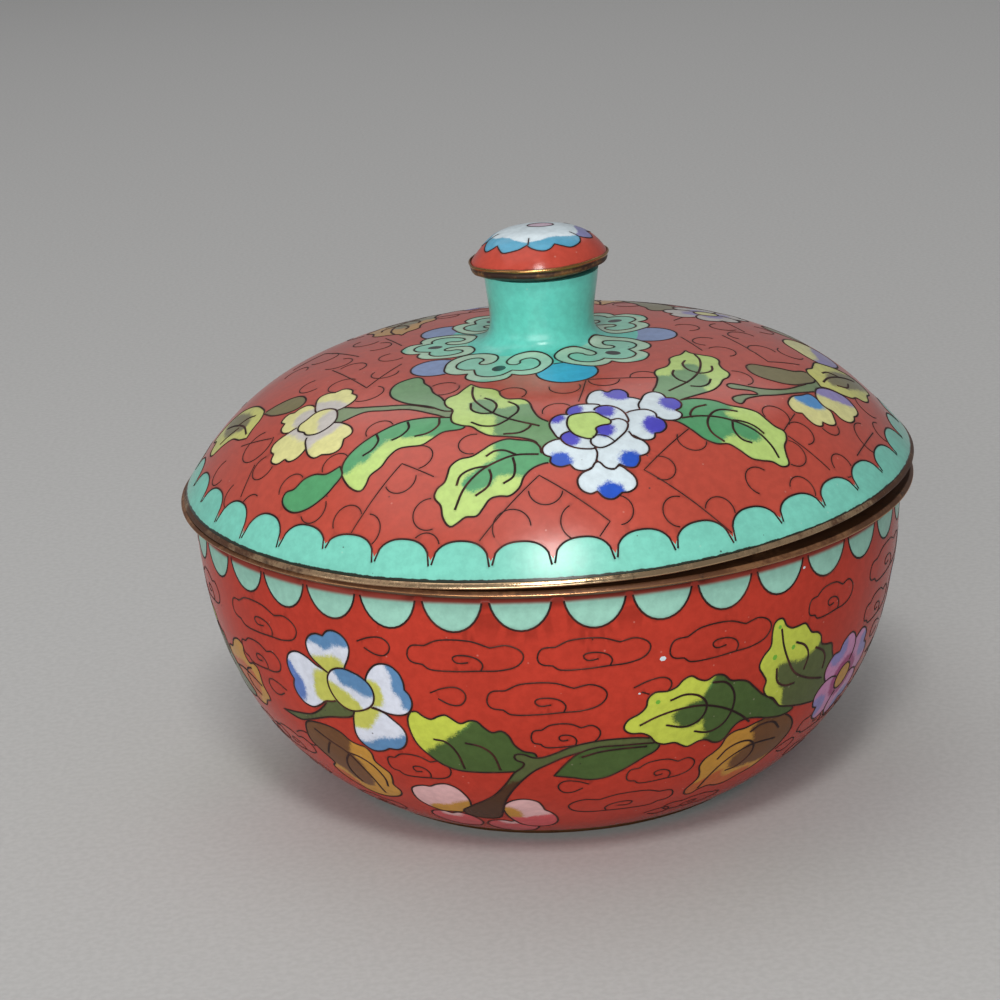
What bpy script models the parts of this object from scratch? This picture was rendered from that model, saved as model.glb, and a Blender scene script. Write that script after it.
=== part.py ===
"""Cloisonne bowl with a lid that lifts off: every solid piece at its real size.

Metres, +Z up. The origin is the centre of the foot ring, on the table. The lid rests a little
askew: it touches the bowl's rim at the left and gapes at the right and the back.
"""
import math

import bmesh
import bpy
from mathutils import Matrix, Vector

MM = 0.001

# Bowl
BOWL_RIM_RADIUS = 60.4 * MM
BOWL_RIM_TOP = 50.5 * MM
BOWL_RIM_HEIGHT = 1.45 * MM
WALL_TOP_RADIUS = 57.9 * MM
WALL_THICKNESS = 2.2 * MM
BASE_RADIUS = 36.0 * MM
BASE_HEIGHT = 1.5 * MM
FOOT_RADIUS = 34.0 * MM
FOOT_WIDTH = 2.4 * MM
BOWL_RIM_WIDTH = 4.8 * MM
COLLAR_RADIUS = 55.3 * MM
COLLAR_THICKNESS = 0.8 * MM
COLLAR_RISE = 2.4 * MM
COLLAR_DEPTH = 4.0 * MM

# Lid, measured up from the lower edge of its own rim
LID_RIM_RADIUS = 60.1 * MM
LID_RIM_HEIGHT = 1.0 * MM
DOME_RADIUS = 59.4 * MM
DOME_HEIGHT = 21.0 * MM
NECK_ROOT_RADIUS = 8.6 * MM
NECK_ROOT_HEIGHT = 24.8 * MM
NECK_TOP_RADIUS = 9.25 * MM
NECK_TOP_HEIGHT = 32.4 * MM
KNOB_SHIFT = 0.65 * MM
KNOB_RIM_RADIUS = 11.45 * MM
KNOB_RIM_TOP = 35.05 * MM
KNOB_RIM_HEIGHT = 1.6 * MM
KNOB_LIP = 0.5 * MM
KNOB_RECESS = 0.45 * MM
KNOB_TOP_RISE = 4.5 * MM

# How the lid lies on the bowl
LID_SHIFT = (0.3 * MM, -1.0 * MM)
LID_TILT = math.radians(0.77)
LID_HIGH_SIDE = math.radians(27)
REST_GAP = 0.25 * MM

CLEARANCE = 0.3 * MM
CORNER = 0.4 * MM
LARGE_TURN = 54
SMALL_TURN = 36
SHARP_ANGLE = math.radians(35)


def clear_scene():
    for thing in list(bpy.data.objects):
        bpy.data.objects.remove(thing, do_unlink=True)


def make_material(name, color, roughness, metallic=0.0):
    material = bpy.data.materials.new(name)
    material.use_nodes = True
    shader = material.node_tree.nodes["Principled BSDF"]
    shader.inputs["Base Color"].default_value = (*color, 1.0)
    shader.inputs["Roughness"].default_value = roughness
    shader.inputs["Metallic"].default_value = metallic
    return material


def curve_points(start, pull_start, pull_end, end, steps):
    """Points of a cubic curve from start to end, both included."""
    points = []
    for step in range(steps + 1):
        t = step / steps
        weights = ((1 - t) ** 3, 3 * t * (1 - t) ** 2, 3 * t ** 2 * (1 - t), t ** 3)
        corners = (start, pull_start, pull_end, end)
        points.append(tuple(sum(w * c[axis] for w, c in zip(weights, corners)) for axis in (0, 1)))
    return points


def inset_points(points, depth):
    """The same curve moved in, towards the axis and away from its outer side."""
    moved = []
    last = len(points) - 1
    for index, (radius, height) in enumerate(points):
        before = points[max(index - 1, 0)]
        after = points[min(index + 1, last)]
        along = Vector((after[0] - before[0], after[1] - before[1])).normalized()
        moved.append((radius - along.y * depth, height + along.x * depth))
    return moved


def band_points(inner, outer, bottom, top, corner=CORNER):
    """A ring's section with its two outer corners rounded off."""
    return [
        (inner, bottom),
        (outer - corner, bottom),
        (outer, bottom + corner),
        (outer, top - corner),
        (outer - corner, top),
        (inner, top),
    ]


def turn(name, profile, material, parent, segments=LARGE_TURN, closed=False):
    """Turn a profile of (radius, height) points about Z into one solid, and name it."""
    shape = bmesh.new()
    corners = [shape.verts.new((radius, 0, height)) for radius, height in profile]
    pairs = list(zip(corners, corners[1:]))
    if closed:
        pairs.append((corners[-1], corners[0]))
    edges = [shape.edges.new(pair) for pair in pairs]
    bmesh.ops.spin(
        shape, geom=corners + edges, cent=(0, 0, 0), axis=(0, 0, 1),
        angle=math.tau, steps=segments, use_merge=True,
    )
    bmesh.ops.remove_doubles(shape, verts=shape.verts[:], dist=0.001 * MM)
    bmesh.ops.recalc_face_normals(shape, faces=shape.faces[:])
    mesh = bpy.data.meshes.new(name)
    shape.to_mesh(mesh)
    shape.free()
    mesh.shade_smooth()
    mesh.set_sharp_from_angle(angle=SHARP_ANGLE)
    mesh.materials.append(material)
    piece = bpy.data.objects.new(name, mesh)
    bpy.context.collection.objects.link(piece)
    piece.parent = parent
    return piece


def shift_above(piece, start, end):
    """Ease a piece sideways between two heights, so that the knob stands off the centre."""
    for vertex in piece.data.vertices:
        share = min(max((vertex.co.z - start) / (end - start), 0.0), 1.0)
        vertex.co.x += KNOB_SHIFT * share * share * (3 - 2 * share)


def add_empty(name):
    empty = bpy.data.objects.new(name, None)
    bpy.context.collection.objects.link(empty)
    return empty


def place_lid(empty):
    """Tip the lid about a level line, and lift it so that its low side just clears the rim."""
    level_line = Vector((math.sin(LID_HIGH_SIDE), -math.cos(LID_HIGH_SIDE), 0))
    drop = LID_RIM_RADIUS * math.sin(LID_TILT)
    lift = BOWL_RIM_TOP + REST_GAP + drop
    place = Matrix.Translation((*LID_SHIFT, lift))
    empty.matrix_world = place @ Matrix.Rotation(LID_TILT, 4, level_line)


def build_bowl(bowl, enamel, brass):
    band_bottom = BOWL_RIM_TOP - BOWL_RIM_HEIGHT
    wall_top = band_bottom - CLEARANCE
    outside = curve_points(
        (BASE_RADIUS, BASE_HEIGHT),
        (BASE_RADIUS + 11.5 * MM, BASE_HEIGHT + 7.4 * MM),
        (WALL_TOP_RADIUS, 0.43 * wall_top),
        (WALL_TOP_RADIUS, wall_top),
        steps=10,
    )
    inside = inset_points(outside, WALL_THICKNESS)
    inside[0] = (inside[0][0], BASE_HEIGHT + WALL_THICKNESS)
    body = [(0, BASE_HEIGHT)] + outside + inside[::-1] + [(0, BASE_HEIGHT + WALL_THICKNESS)]
    turn("bowl_body", body, enamel, bowl)

    rim_inside = BOWL_RIM_RADIUS - BOWL_RIM_WIDTH
    rim = band_points(rim_inside, BOWL_RIM_RADIUS, band_bottom, BOWL_RIM_TOP)
    turn("bowl_rim", rim, brass, bowl, closed=True)

    collar_inside = COLLAR_RADIUS - COLLAR_THICKNESS
    collar_top = BOWL_RIM_TOP + COLLAR_RISE
    collar_foot = band_bottom - COLLAR_DEPTH
    collar = [
        (COLLAR_RADIUS, collar_foot),
        (COLLAR_RADIUS, collar_top),
        (collar_inside, collar_top),
        (collar_inside, collar_foot),
    ]
    turn("bowl_collar", collar, brass, bowl, closed=True)

    foot = [
        (FOOT_RADIUS, 0),
        (FOOT_RADIUS, BASE_HEIGHT - CLEARANCE),
        (FOOT_RADIUS - FOOT_WIDTH, BASE_HEIGHT - CLEARANCE),
        (FOOT_RADIUS - FOOT_WIDTH, 0),
    ]
    turn("foot_ring", foot, brass, bowl, closed=True)


def build_lid(lid, enamel, brass):
    dome = curve_points(
        (DOME_RADIUS, LID_RIM_HEIGHT + CLEARANCE),
        (0.8 * DOME_RADIUS, 0.89 * DOME_HEIGHT),
        (0.54 * DOME_RADIUS, 0.975 * DOME_HEIGHT),
        (13.5 * MM, 0.997 * DOME_HEIGHT),
        steps=10,
    )
    fillet = curve_points(
        dome[-1],
        (10.2 * MM, DOME_HEIGHT),
        (NECK_ROOT_RADIUS, DOME_HEIGHT + 1.2 * MM),
        (NECK_ROOT_RADIUS, NECK_ROOT_HEIGHT),
        steps=4,
    )
    under = inset_points(dome, WALL_THICKNESS)
    under[0] = (under[0][0], LID_RIM_HEIGHT + CLEARANCE)
    ceiling = under[-1][1]
    body = under[::-1] + dome + fillet[1:] + [(NECK_TOP_RADIUS, NECK_TOP_HEIGHT)]
    body = [(0, ceiling)] + body + [(0, NECK_TOP_HEIGHT)]
    lid_body = turn("lid_body", body, enamel, lid)
    shift_above(lid_body, ceiling, NECK_ROOT_HEIGHT)

    inner_edge = under[0][0]
    rim = band_points(inner_edge, LID_RIM_RADIUS, 0, LID_RIM_HEIGHT, corner=0.3 * MM)
    turn("lid_rim", rim, brass, lid, closed=True)


def build_knob(lid, enamel, brass):
    rim_bottom = KNOB_RIM_TOP - KNOB_RIM_HEIGHT
    under = NECK_TOP_HEIGHT + CLEARANCE
    recess_floor = KNOB_RIM_TOP - KNOB_RECESS
    recess_radius = KNOB_RIM_RADIUS - KNOB_LIP
    dish = [
        (0, under),
        (NECK_TOP_RADIUS, under),
        (KNOB_RIM_RADIUS - CORNER, rim_bottom),
        (KNOB_RIM_RADIUS, rim_bottom + CORNER),
        (KNOB_RIM_RADIUS, KNOB_RIM_TOP - CORNER),
        (recess_radius + 0.2 * MM, KNOB_RIM_TOP),
        (recess_radius, recess_floor),
        (0, recess_floor),
    ]
    knob_rim = turn("knob_rim", dish, brass, lid, segments=SMALL_TURN)

    cap_floor = recess_floor + CLEARANCE
    cap_radius = recess_radius - CLEARANCE
    apex = KNOB_RIM_TOP + KNOB_TOP_RISE
    cap = [(0, cap_floor)] + curve_points(
        (cap_radius, cap_floor),
        (cap_radius - 2.4 * MM, KNOB_RIM_TOP + 0.8 * KNOB_TOP_RISE),
        (0.57 * cap_radius, apex),
        (0, apex),
        steps=6,
    )
    knob_top = turn("knob_top", cap, enamel, lid, segments=SMALL_TURN)
    for piece in (knob_rim, knob_top):
        piece.location.x = KNOB_SHIFT


def main():
    clear_scene()
    red_enamel = make_material("red_enamel", (0.42, 0.055, 0.035), 0.28)
    brass = make_material("tarnished_brass", (0.42, 0.24, 0.09), 0.36, metallic=1.0)
    bowl = add_empty("bowl")
    lid = add_empty("lid")
    place_lid(lid)
    build_bowl(bowl, red_enamel, brass)
    build_lid(lid, red_enamel, brass)
    build_knob(lid, red_enamel, brass)


main()
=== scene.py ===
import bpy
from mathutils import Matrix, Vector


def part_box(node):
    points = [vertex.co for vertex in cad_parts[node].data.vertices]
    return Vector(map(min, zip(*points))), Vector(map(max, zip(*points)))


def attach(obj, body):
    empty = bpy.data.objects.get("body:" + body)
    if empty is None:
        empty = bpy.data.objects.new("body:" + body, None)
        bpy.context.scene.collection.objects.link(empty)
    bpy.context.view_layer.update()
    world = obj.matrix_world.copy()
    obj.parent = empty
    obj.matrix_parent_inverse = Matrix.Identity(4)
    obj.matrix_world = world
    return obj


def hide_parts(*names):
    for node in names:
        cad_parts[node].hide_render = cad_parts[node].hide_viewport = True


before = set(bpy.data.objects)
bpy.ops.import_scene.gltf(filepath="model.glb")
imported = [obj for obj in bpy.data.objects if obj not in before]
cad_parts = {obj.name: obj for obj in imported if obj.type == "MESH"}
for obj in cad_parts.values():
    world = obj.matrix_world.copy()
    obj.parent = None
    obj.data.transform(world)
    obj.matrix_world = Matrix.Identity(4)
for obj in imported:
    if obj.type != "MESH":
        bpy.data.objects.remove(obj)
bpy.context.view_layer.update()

import math
import random

import bpy
import numpy as np
from mathutils import Matrix, Vector
from mathutils.geometry import delaunay_2d_cdt
from mathutils.kdtree import KDTree

mm = 0.001
dice = random.Random(7)
print("frame loaded")

# the glazes, as eight-bit red, green and blue
palette = {
    "lidRed": (171, 66, 50),
    "bowlRed": (172, 55, 41),
    "lidTurquoise": (112, 190, 172),
    "neckTurquoise": (92, 192, 176),
    "bowlTurquoise": (142, 190, 173),
    "innerTurquoise": (96, 178, 170),
    "ruyiMiddle": (132, 194, 170),
    "ruyiPale": (166, 198, 172),
    "ruyiGreen": (122, 186, 160),
    "skyBlue": (50, 160, 202),
    "lavenderBlue": (120, 139, 180),
    "limeYellow": (174, 200, 112),
    "dullLime": (196, 196, 104),
    "leafGreen": (74, 144, 95),
    "dullGreen": (99, 140, 94),
    "brightGreen": (60, 170, 110),
    "greyGreen": (104, 124, 84),
    "olive": (112, 104, 64),
    "bowlLime": (183, 193, 75),
    "bowlGreen": (70, 90, 48),
    "bowlLeafGreen": (70, 122, 68),
    "stemGreen": (84, 92, 56),
    "darkStem": (74, 48, 32),
    "ochre": (184, 134, 56),
    "umber": (104, 68, 40),
    "orangeClay": (176, 88, 44),
    "petalWhite": (198, 211, 217),
    "cobalt": (64, 58, 176),
    "deepBlue": (26, 74, 178),
    "petalYellow": (208, 204, 138),
    "petalLavender": (186, 180, 174),
    "petalViolet": (134, 124, 176),
    "petalBlue": (72, 134, 190),
    "bowlBlue": (88, 128, 168),
    "bowlWhite": (204, 208, 220),
    "bowlYellow": (184, 184, 88),
    "slateBlue": (88, 114, 172),
    "rosePale": (214, 170, 170),
    "rose": (196, 84, 88),
    "magenta": (150, 60, 110),
    "orchid": (190, 130, 170),
    "speckGreen": (110, 170, 60),
    "knobCentre": (190, 166, 182),
    "knobRed": (172, 66, 52),
    "knobBlue": (82, 151, 180),
    "knobViolet": (123, 123, 170),
    "dot": (10, 7, 7),
}


def linear(name):
    # from the palette's values to linear light
    values = []
    for part in palette[name]:
        c = part / 255
        values.append(c / 12.92 if c < 0.04045 else ((c + 0.055) / 1.055) ** 2.4)
    return (*values, 1.0)


# a line is an array of points, in mm
def bend(start, pullStart, pullEnd, end, steps=30):
    t = np.linspace(0, 1, steps + 1)[:, None]
    a, b, c, d = (np.array(p[:2], float) for p in (start, pullStart, pullEnd, end))
    return (1 - t) ** 3 * a + 3 * t * (1 - t) ** 2 * b + 3 * t * t * (1 - t) * c + t ** 3 * d


def joined(*lines):
    return np.vstack([lines[0]] + [line[1:] for line in lines[1:]])


def flowing(points, closed=False, grain=0.5):
    # a smooth line through the points; a third value marks a sharp corner
    spots = [np.array(p[:2], float) for p in points]
    sharp = [len(p) > 2 for p in points]
    count = len(spots)
    line = []
    for i in range(count if closed else count - 1):
        j = (i + 1) % count
        a, b = spots[i], spots[j]
        span = np.linalg.norm(b - a)
        before = a if sharp[i] or (i == 0 and not closed) else spots[i - 1]
        after = b if sharp[j] or (j == count - 1 and not closed) else spots[(j + 1) % count]
        leave, arrive = b - before, after - a
        leave = leave / max(np.linalg.norm(leave), 1e-6) * span / 3
        arrive = arrive / max(np.linalg.norm(arrive), 1e-6) * span / 3
        steps = max(2, math.ceil(span / grain))
        line.append(bend(a, a + leave, b - arrive, b, steps)[:-1])
    if not closed:
        line.append(spots[-1][None, :])
    return np.vstack(line)


def asLine(points, closed=False, grain=0.5):
    return points if isinstance(points, np.ndarray) else flowing(points, closed, grain)


def arc(x, y, radius, start, sweep, tall=1.0, grain=0.5):
    steps = max(6, int(abs(math.radians(sweep)) * radius / grain))
    turn = np.radians(start + np.linspace(0, sweep, steps + 1))
    return np.stack([x + radius * np.cos(turn), y + radius * tall * np.sin(turn)], 1)


def disc(x, y, radius, tall=1.0):
    return arc(x, y, radius, 0, 360, tall)[:-1]


def mirrored(points):
    return [(-p[0], *p[1:]) for p in points[::-1]]


def turned(points, axis, x=0.0, y=0.0, size=1.0):
    # a shape drawn upright, x across and y away from its root, laid along the axis, in degrees
    angle = math.radians(axis)
    away = np.array((math.cos(angle), math.sin(angle)))
    across = np.array((-away[1], away[0]))
    return [(*((x, y) + size * (p[0] * across + p[1] * away)), *p[2:]) for p in points]


def inside(points, loop):
    # which points lie in the closed loop
    x, y = points[:, :1], points[:, 1:]
    ax, ay = loop[:, 0], loop[:, 1]
    bx, by = np.roll(ax, -1), np.roll(ay, -1)
    crosses = (ay > y) != (by > y)
    with np.errstate(divide="ignore", invalid="ignore"):
        at = ax + (y - ay) * (bx - ax) / (by - ay)
    return (crosses & (x < at)).sum(1) % 2 == 1


def reachOf(points):
    return np.hypot(points[:, 0], points[:, 1])


def ringAt(reach, turn):
    return np.stack([reach * np.cos(turn), reach * np.sin(turn)], 1)


def markInside(points, loop, marked):
    # marks the points in the loop too; those outside its box are passed over
    near = ((points > loop.min(0)) & (points < loop.max(0))).all(1) & ~marked
    if near.any():
        marked[near] = inside(points[near], loop)


def depthIn(points, loop, batch=4000):
    # distance to the loop in mm, positive inside it; a batch of points at a time, to spare memory
    along = np.roll(loop, -1, axis=0) - loop
    size = np.maximum((along ** 2).sum(1), 1e-9)
    found = np.zeros(len(points))
    for start in range(0, len(points), batch):
        part = points[start:start + batch]
        gap = part[:, None, :] - loop[None]
        t = np.clip((gap * along).sum(2) / size, 0, 1)
        gap -= t[..., None] * along
        found[start:start + batch] = np.sqrt((gap ** 2).sum(2).min(1))
    return np.where(inside(points, loop), found, -found)


# every enamelled surface is a profile turned about its axis; reach is the way along the profile
def turnedForm(profile, firstReach, outward, turnMatrix, origin, ease=None, lifted=None):
    steps = np.hypot(*np.diff(profile, axis=0).T)
    reach = firstReach + np.concatenate([[0], np.cumsum(steps)])
    along = np.gradient(profile, reach, axis=0)
    along /= reachOf(along)[:, None]
    return {
        "reach": reach,
        "profile": profile,
        "normal": outward * np.stack([-along[:, 1], along[:, 0]], 1),
        "outward": outward,
        "turn": np.array(turnMatrix),
        "origin": np.array(origin),
        "ease": ease,
        "lifted": lifted,
    }


def eased(share):
    share = np.clip(share, 0, 1)
    return share * share * (3 - 2 * share)


def placed(form, radius, height, turn):
    height = height + 0 * turn
    if form["lifted"]:
        # a hammered edge isn't quite level: how far it stands up or sags, in degrees round from the front
        full, none, lifts = form["lifted"]
        around = np.degrees((turn + 1.5 * math.pi) % (2 * math.pi) - math.pi)
        height = height + np.interp(around, *zip(*lifts)) * eased((none - height) / (none - full))
    spot = np.stack([radius * np.cos(turn), radius * np.sin(turn), height], 1)
    if form["ease"]:
        spot[:, 0] += np.interp(spot[:, 2], *zip(*form["ease"]))
    return spot @ form["turn"].T + form["origin"]


def pointing(form, out, up, turn):
    arrow = np.stack([out * np.cos(turn), out * np.sin(turn), up + 0 * turn], 1)
    return arrow @ form["turn"].T


def onForm(form, reach, turn):
    radius, height, out, up = (
        np.interp(reach, form["reach"], form[key][:, k]) for key in ("profile", "normal") for k in (0, 1)
    )
    return placed(form, radius, height, turn), pointing(form, out, up, turn)


def middle(node):
    low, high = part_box(node)
    return np.array((low + high) / 2) / mm


bowlSizes = {
    "baseRadius": 36.0,
    "baseHeight": 1.5,
    "pullOut": (47.5, 8.9),
    "wallRadius": 57.9,
    "wallTop": 48.75,
    "wallPull": 0.43,
    "thickness": 2.2,
}
lidSizes = {
    "rimRadius": 59.2,
    "rimHeight": 0.6,
    "domeHeight": 21.0,
    "shoulder": (13.5, 0.997),
    "domePulls": ((0.54, 0.975), (0.8, 0.89)),  # of the rim's radius and the dome's height
    "filletPulls": (0.8, 9.9),  # above the dome's height, and out from the axis
    "neckRoot": (8.42, 24.3),
    "neckPulls": ((9.05, 29.6), 27.2),
    "neckTop": (9.22, 32.4),
    "thickness": 2.2,
    "tilt": 0.77,
    "highSide": 27,
    "ringMiddle": 0.5,
}
knobSizes = {
    "floor": 34.9,
    "radius": 11.1,
    "shoulder": (8.9, 38.5),
    "crown": (6.07, 39.5),
}

bowlMiddle = middle("bowl_body")
bowlProfile = bend(
    (bowlSizes["baseRadius"], bowlSizes["baseHeight"]),
    bowlSizes["pullOut"],
    (bowlSizes["wallRadius"], bowlSizes["wallPull"] * bowlSizes["wallTop"]),
    (bowlSizes["wallRadius"], bowlSizes["wallTop"]),
    120,
)
bowlForm = turnedForm(bowlProfile, bowlSizes["baseRadius"], -1, np.eye(3), (*bowlMiddle[:2], 0))

highSide = math.radians(lidSizes["highSide"])
levelLine = Vector((math.sin(highSide), -math.cos(highSide), 0))
lidTurn = Matrix.Rotation(math.radians(lidSizes["tilt"]), 3, levelLine)
lidOrigin = middle("lid_rim") - np.array(lidTurn) @ (0, 0, lidSizes["ringMiddle"])
domeHeight = lidSizes["domeHeight"]
shoulderRadius, shoulderShare = lidSizes["shoulder"]
dome = bend(
    (shoulderRadius, shoulderShare * domeHeight),
    *((out * lidSizes["rimRadius"], up * domeHeight) for out, up in lidSizes["domePulls"]),
    (lidSizes["rimRadius"], lidSizes["rimHeight"]),
    120,
)
rootRadius, rootHeight = lidSizes["neckRoot"]
filletUp, filletOut = lidSizes["filletPulls"]
filletPulls = (rootRadius, domeHeight + filletUp), (filletOut, domeHeight)
fillet = bend(lidSizes["neckRoot"], *filletPulls, dome[0], 40)
waist, rootPull = lidSizes["neckPulls"]
neck = bend(lidSizes["neckTop"], waist, (rootRadius, rootPull), lidSizes["neckRoot"], 30)
aboveDome = joined(neck, fillet)
neckReach = shoulderRadius - np.hypot(*np.diff(aboveDome, axis=0).T).sum()
# how far the neck and the knob stand to the right, by height
lidEase = [(18.7, 0.0), (20.2, 0.1), (23.0, 0.55), (rootHeight, 0.65), (lidSizes["neckTop"][1], 1.0)]
knobEase = [(32.0, 0.65), (33.0, 0.65)]
# each lift is whole at the first height and gone at the second
dishLift = (35.0, 39.0, [
    (-180, 0.1), (-110, -0.4), (-70, -0.4), (-30, 0.0), (10, 0.0), (50, 0.25), (110, 0.1), (180, 0.1),
])
knobLift = (36.6, 39.5, [
    (-180, 0.1), (-115, -0.95), (-70, -0.95), (-25, 0.0), (10, 0.0), (50, 0.2), (110, 0.1), (180, 0.1),
])
lidLift = (0.0, 6.5, [
    (-180, 0.0), (-60, 0.0), (-40, -0.2), (-28, -0.27), (-8, 0.0), (14, 0.0), (34, 0.42), (60, 0.78),
    (90, 0.85), (180, 0.0),
])
lidForm = turnedForm(joined(aboveDome, dome), neckReach, 1, lidTurn, lidOrigin, lidEase, lidLift)

cap = bend(
    (0.0, knobSizes["crown"][1]),
    knobSizes["crown"],
    knobSizes["shoulder"],
    (knobSizes["radius"], knobSizes["floor"]),
    60,
)
knobForm = turnedForm(cap, 0.0, 1, lidTurn, lidOrigin, knobEase, knobLift)
dishForm = {**knobForm, "lifted": dishLift}

lidReach = lidForm["reach"][-1]
print("forms ready")


wires = {"outline": 0.42, "line": 0.4, "vein": 0.5, "fine": 0.3, "lidGround": 0.25, "bowlGround": 0.32}


# the drawing of a sheet of enamel: cells, and the wires around and on them
def newSheet(form, wrap=None):
    return {"form": form, "wrap": wrap, "turn": 0.0, "swap": {}, "cells": [], "lines": []}


def toPlane(sheet, points):
    # lid and knob are drawn from above; the bowl as mm round the wall and mm below the band
    points = np.asarray(points, float)
    if sheet["wrap"]:
        turn = points[:, 0] / sheet["wrap"] - math.pi / 2
        reach = sheet["form"]["reach"][-1] + points[:, 1]
    else:
        turn = np.arctan2(points[:, 1], points[:, 0])
        reach = reachOf(points)
    return ringAt(reach, turn + sheet["turn"])


def shade(sheet, patch):
    if patch is None:
        return None
    name, outline = patch
    return sheet["swap"].get(name, name), toPlane(sheet, asLine(outline, True, 0.8))


def cell(sheet, outline, glaze, tip=None, root=None, wire=wires["outline"]):
    line = toPlane(sheet, asLine(outline, True))
    sheet["cells"].append({
        "line": line,
        "glaze": sheet["swap"].get(glaze, glaze),
        "tip": shade(sheet, tip),
        "root": shade(sheet, root),
    })
    if wire:
        around = np.vstack([line, line[:1]])
        sheet["lines"].append({"line": around, "width": wire, "level": len(sheet["cells"])})


def wireOn(sheet, points, width=wires["line"], level=None):
    level = len(sheet["cells"]) if level is None else level
    sheet["lines"].append({"line": toPlane(sheet, asLine(points)), "width": width, "level": level})


def leaf(sheet, outline, body, heart=None, veins=(), spot=None):
    cell(sheet, outline, body, tip=heart, root=spot)
    for vein in veins:
        wireOn(sheet, vein, wires["vein"])


# the lid, drawn from above
lid = newSheet(lidForm)
# tops and feet are reaches in mm; the offset is in degrees, the width a share of the pitch
scallops = {
    "count": 40, "offset": -0.9, "top": 60.0, "foot": 63.7, "lean": 0.1, "width": 0.955, "square": 2.3,
    "uneven": 0.25, "closed": 0.75, "feet": {33: 0.8, 34: 1.1, 35: 0.45, 36: -0.9, 3: 0.8},
}


def lidGround():
    # open rings and zigzags that hold the red ground; a ring is its middle, radius, start and sweep
    for ring in (
        (-20.2, -41.2, 2.4, 85, -175), (-23.2, -44.6, 2.5, 190, 165), (-33.4, -36.4, 2.3, 20, 165),
        (-41.5, -35.8, 2.4, 10, 165), (-38.2, -42.6, 2.4, 180, 180), (-25.8, -32.0, 2.2, 200, -190),
        (-47.0, -20.0, 3.2, 60, 290), (-46.2, -26.9, 2.3, 70, 250), (-27.6, -19.0, 2.6, 200, 210),
        (-31.8, -12.6, 2.4, 30, 240), (-25.0, -11.5, 2.2, 140, 220), (-11.6, -41.0, 2.2, 70, 200),
        (-19.5, -52.3, 2.6, 75, 200), (-15.6, -22.9, 2.4, 40, 330), (-5.2, -28.0, 2.2, 150, -200),
        (2.9, -27.0, 2.4, 170, 210), (1.6, -35.1, 2.4, 190, -150), (-1.3, -51.8, 2.6, 180, 170),
        (-7.0, -57.5, 3.0, 200, -200), (3.6, -57.4, 3.0, 120, 190), (16.5, -47.6, 2.2, 110, -220),
        (21.5, -41.0, 2.3, 165, 195), (19.0, -54.8, 2.5, 85, 190), (9.5, -55.5, 2.4, 80, -160),
        (32.3, -46.0, 2.4, 70, 200), (40.0, -44.5, 2.4, 190, -190), (38.0, -38.0, 2.5, 115, -235),
        (35.6, -30.5, 2.3, 215, -220), (39.8, -32.5, 2.3, 160, -220), (47.5, -35.0, 2.2, 225, -285),
        (30.2, -21.4, 2.4, 110, -165), (45.0, -27.0, 2.1, 220, 170), (53.5, -23.0, 3.2, 120, 220),
        (35.6, -7.0, 2.4, 20, 220), (26.6, -5.6, 2.3, 60, 200), (40.6, -4.4, 2.2, 150, 200),
        (28.6, -10.6, 2.3, 150, -210), (-32.8, -48.0, 2.6, 0, 180), (-30.2, -51.0, 2.7, 60, -190),
        (-41.0, -47.0, 2.3, 40, 180), (-50.3, -33.1, 2.4, 20, 200), (-53.0, -27.0, 2.3, 80, 220),
        (-55.2, -17.6, 2.4, 60, 210), (-37.0, -8.0, 2.3, 80, 210), (-30.4, -5.0, 2.3, 150, -210),
        (-27.0, -57.0, 2.3, 60, 170), (15.3, -23.7, 2.2, 185, -170), (9.0, -24.7, 2.4, 180, 180),
        (25.8, -53.5, 2.5, 10, 170), (54.0, -12.0, 2.3, 130, 200), (24.6, -35.0, 2.2, 0, 200),
        (-24.0, -3.0, 2.2, 100, 220), (57.0, -17.0, 2.2, 120, 200), (33.0, 0.0, 2.4, 30, 220),
        (-21.0, -57.5, 2.4, 0, 180),
    ):
        wireOn(lid, arc(*ring), wires["lidGround"], 0)
    for corners in (
        ((-32.5, -50.3), (-29.9, -48.1), (-22.7, -41.6), (-18.0, -46.0)),
        ((-12.2, -58.6), (-2.1, -49.2), (8.2, -57.4), (6.2, -60.2)),
        ((28.2, -56.8), (13.8, -48.3), (22.0, -37.6)),
        ((38.9, -28.2), (36.5, -34.2), (45.0, -37.6)),
        ((17.6, -24.0), (6.3, -24.4), (5.6, -28.6), (4.8, -32.4)),
        ((-50.4, -15.6), (-44.2, -20.6)),
        ((-51.4, -29.2), (-47.8, -24.6)),
        ((22.6, -3.4), (25.4, -10.8)),
        ((29.6, -1.2), (36.0, -12.2), (41.6, -9.2)),
        ((-33.8, -3.2), (-27.8, -16.6), (-22.4, -8.0)),
        ((50.6, -30.2), (54.6, -20.0)),
    ):
        wireOn(lid, [(*corner, 0) for corner in corners], wires["lidGround"], 0)


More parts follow.
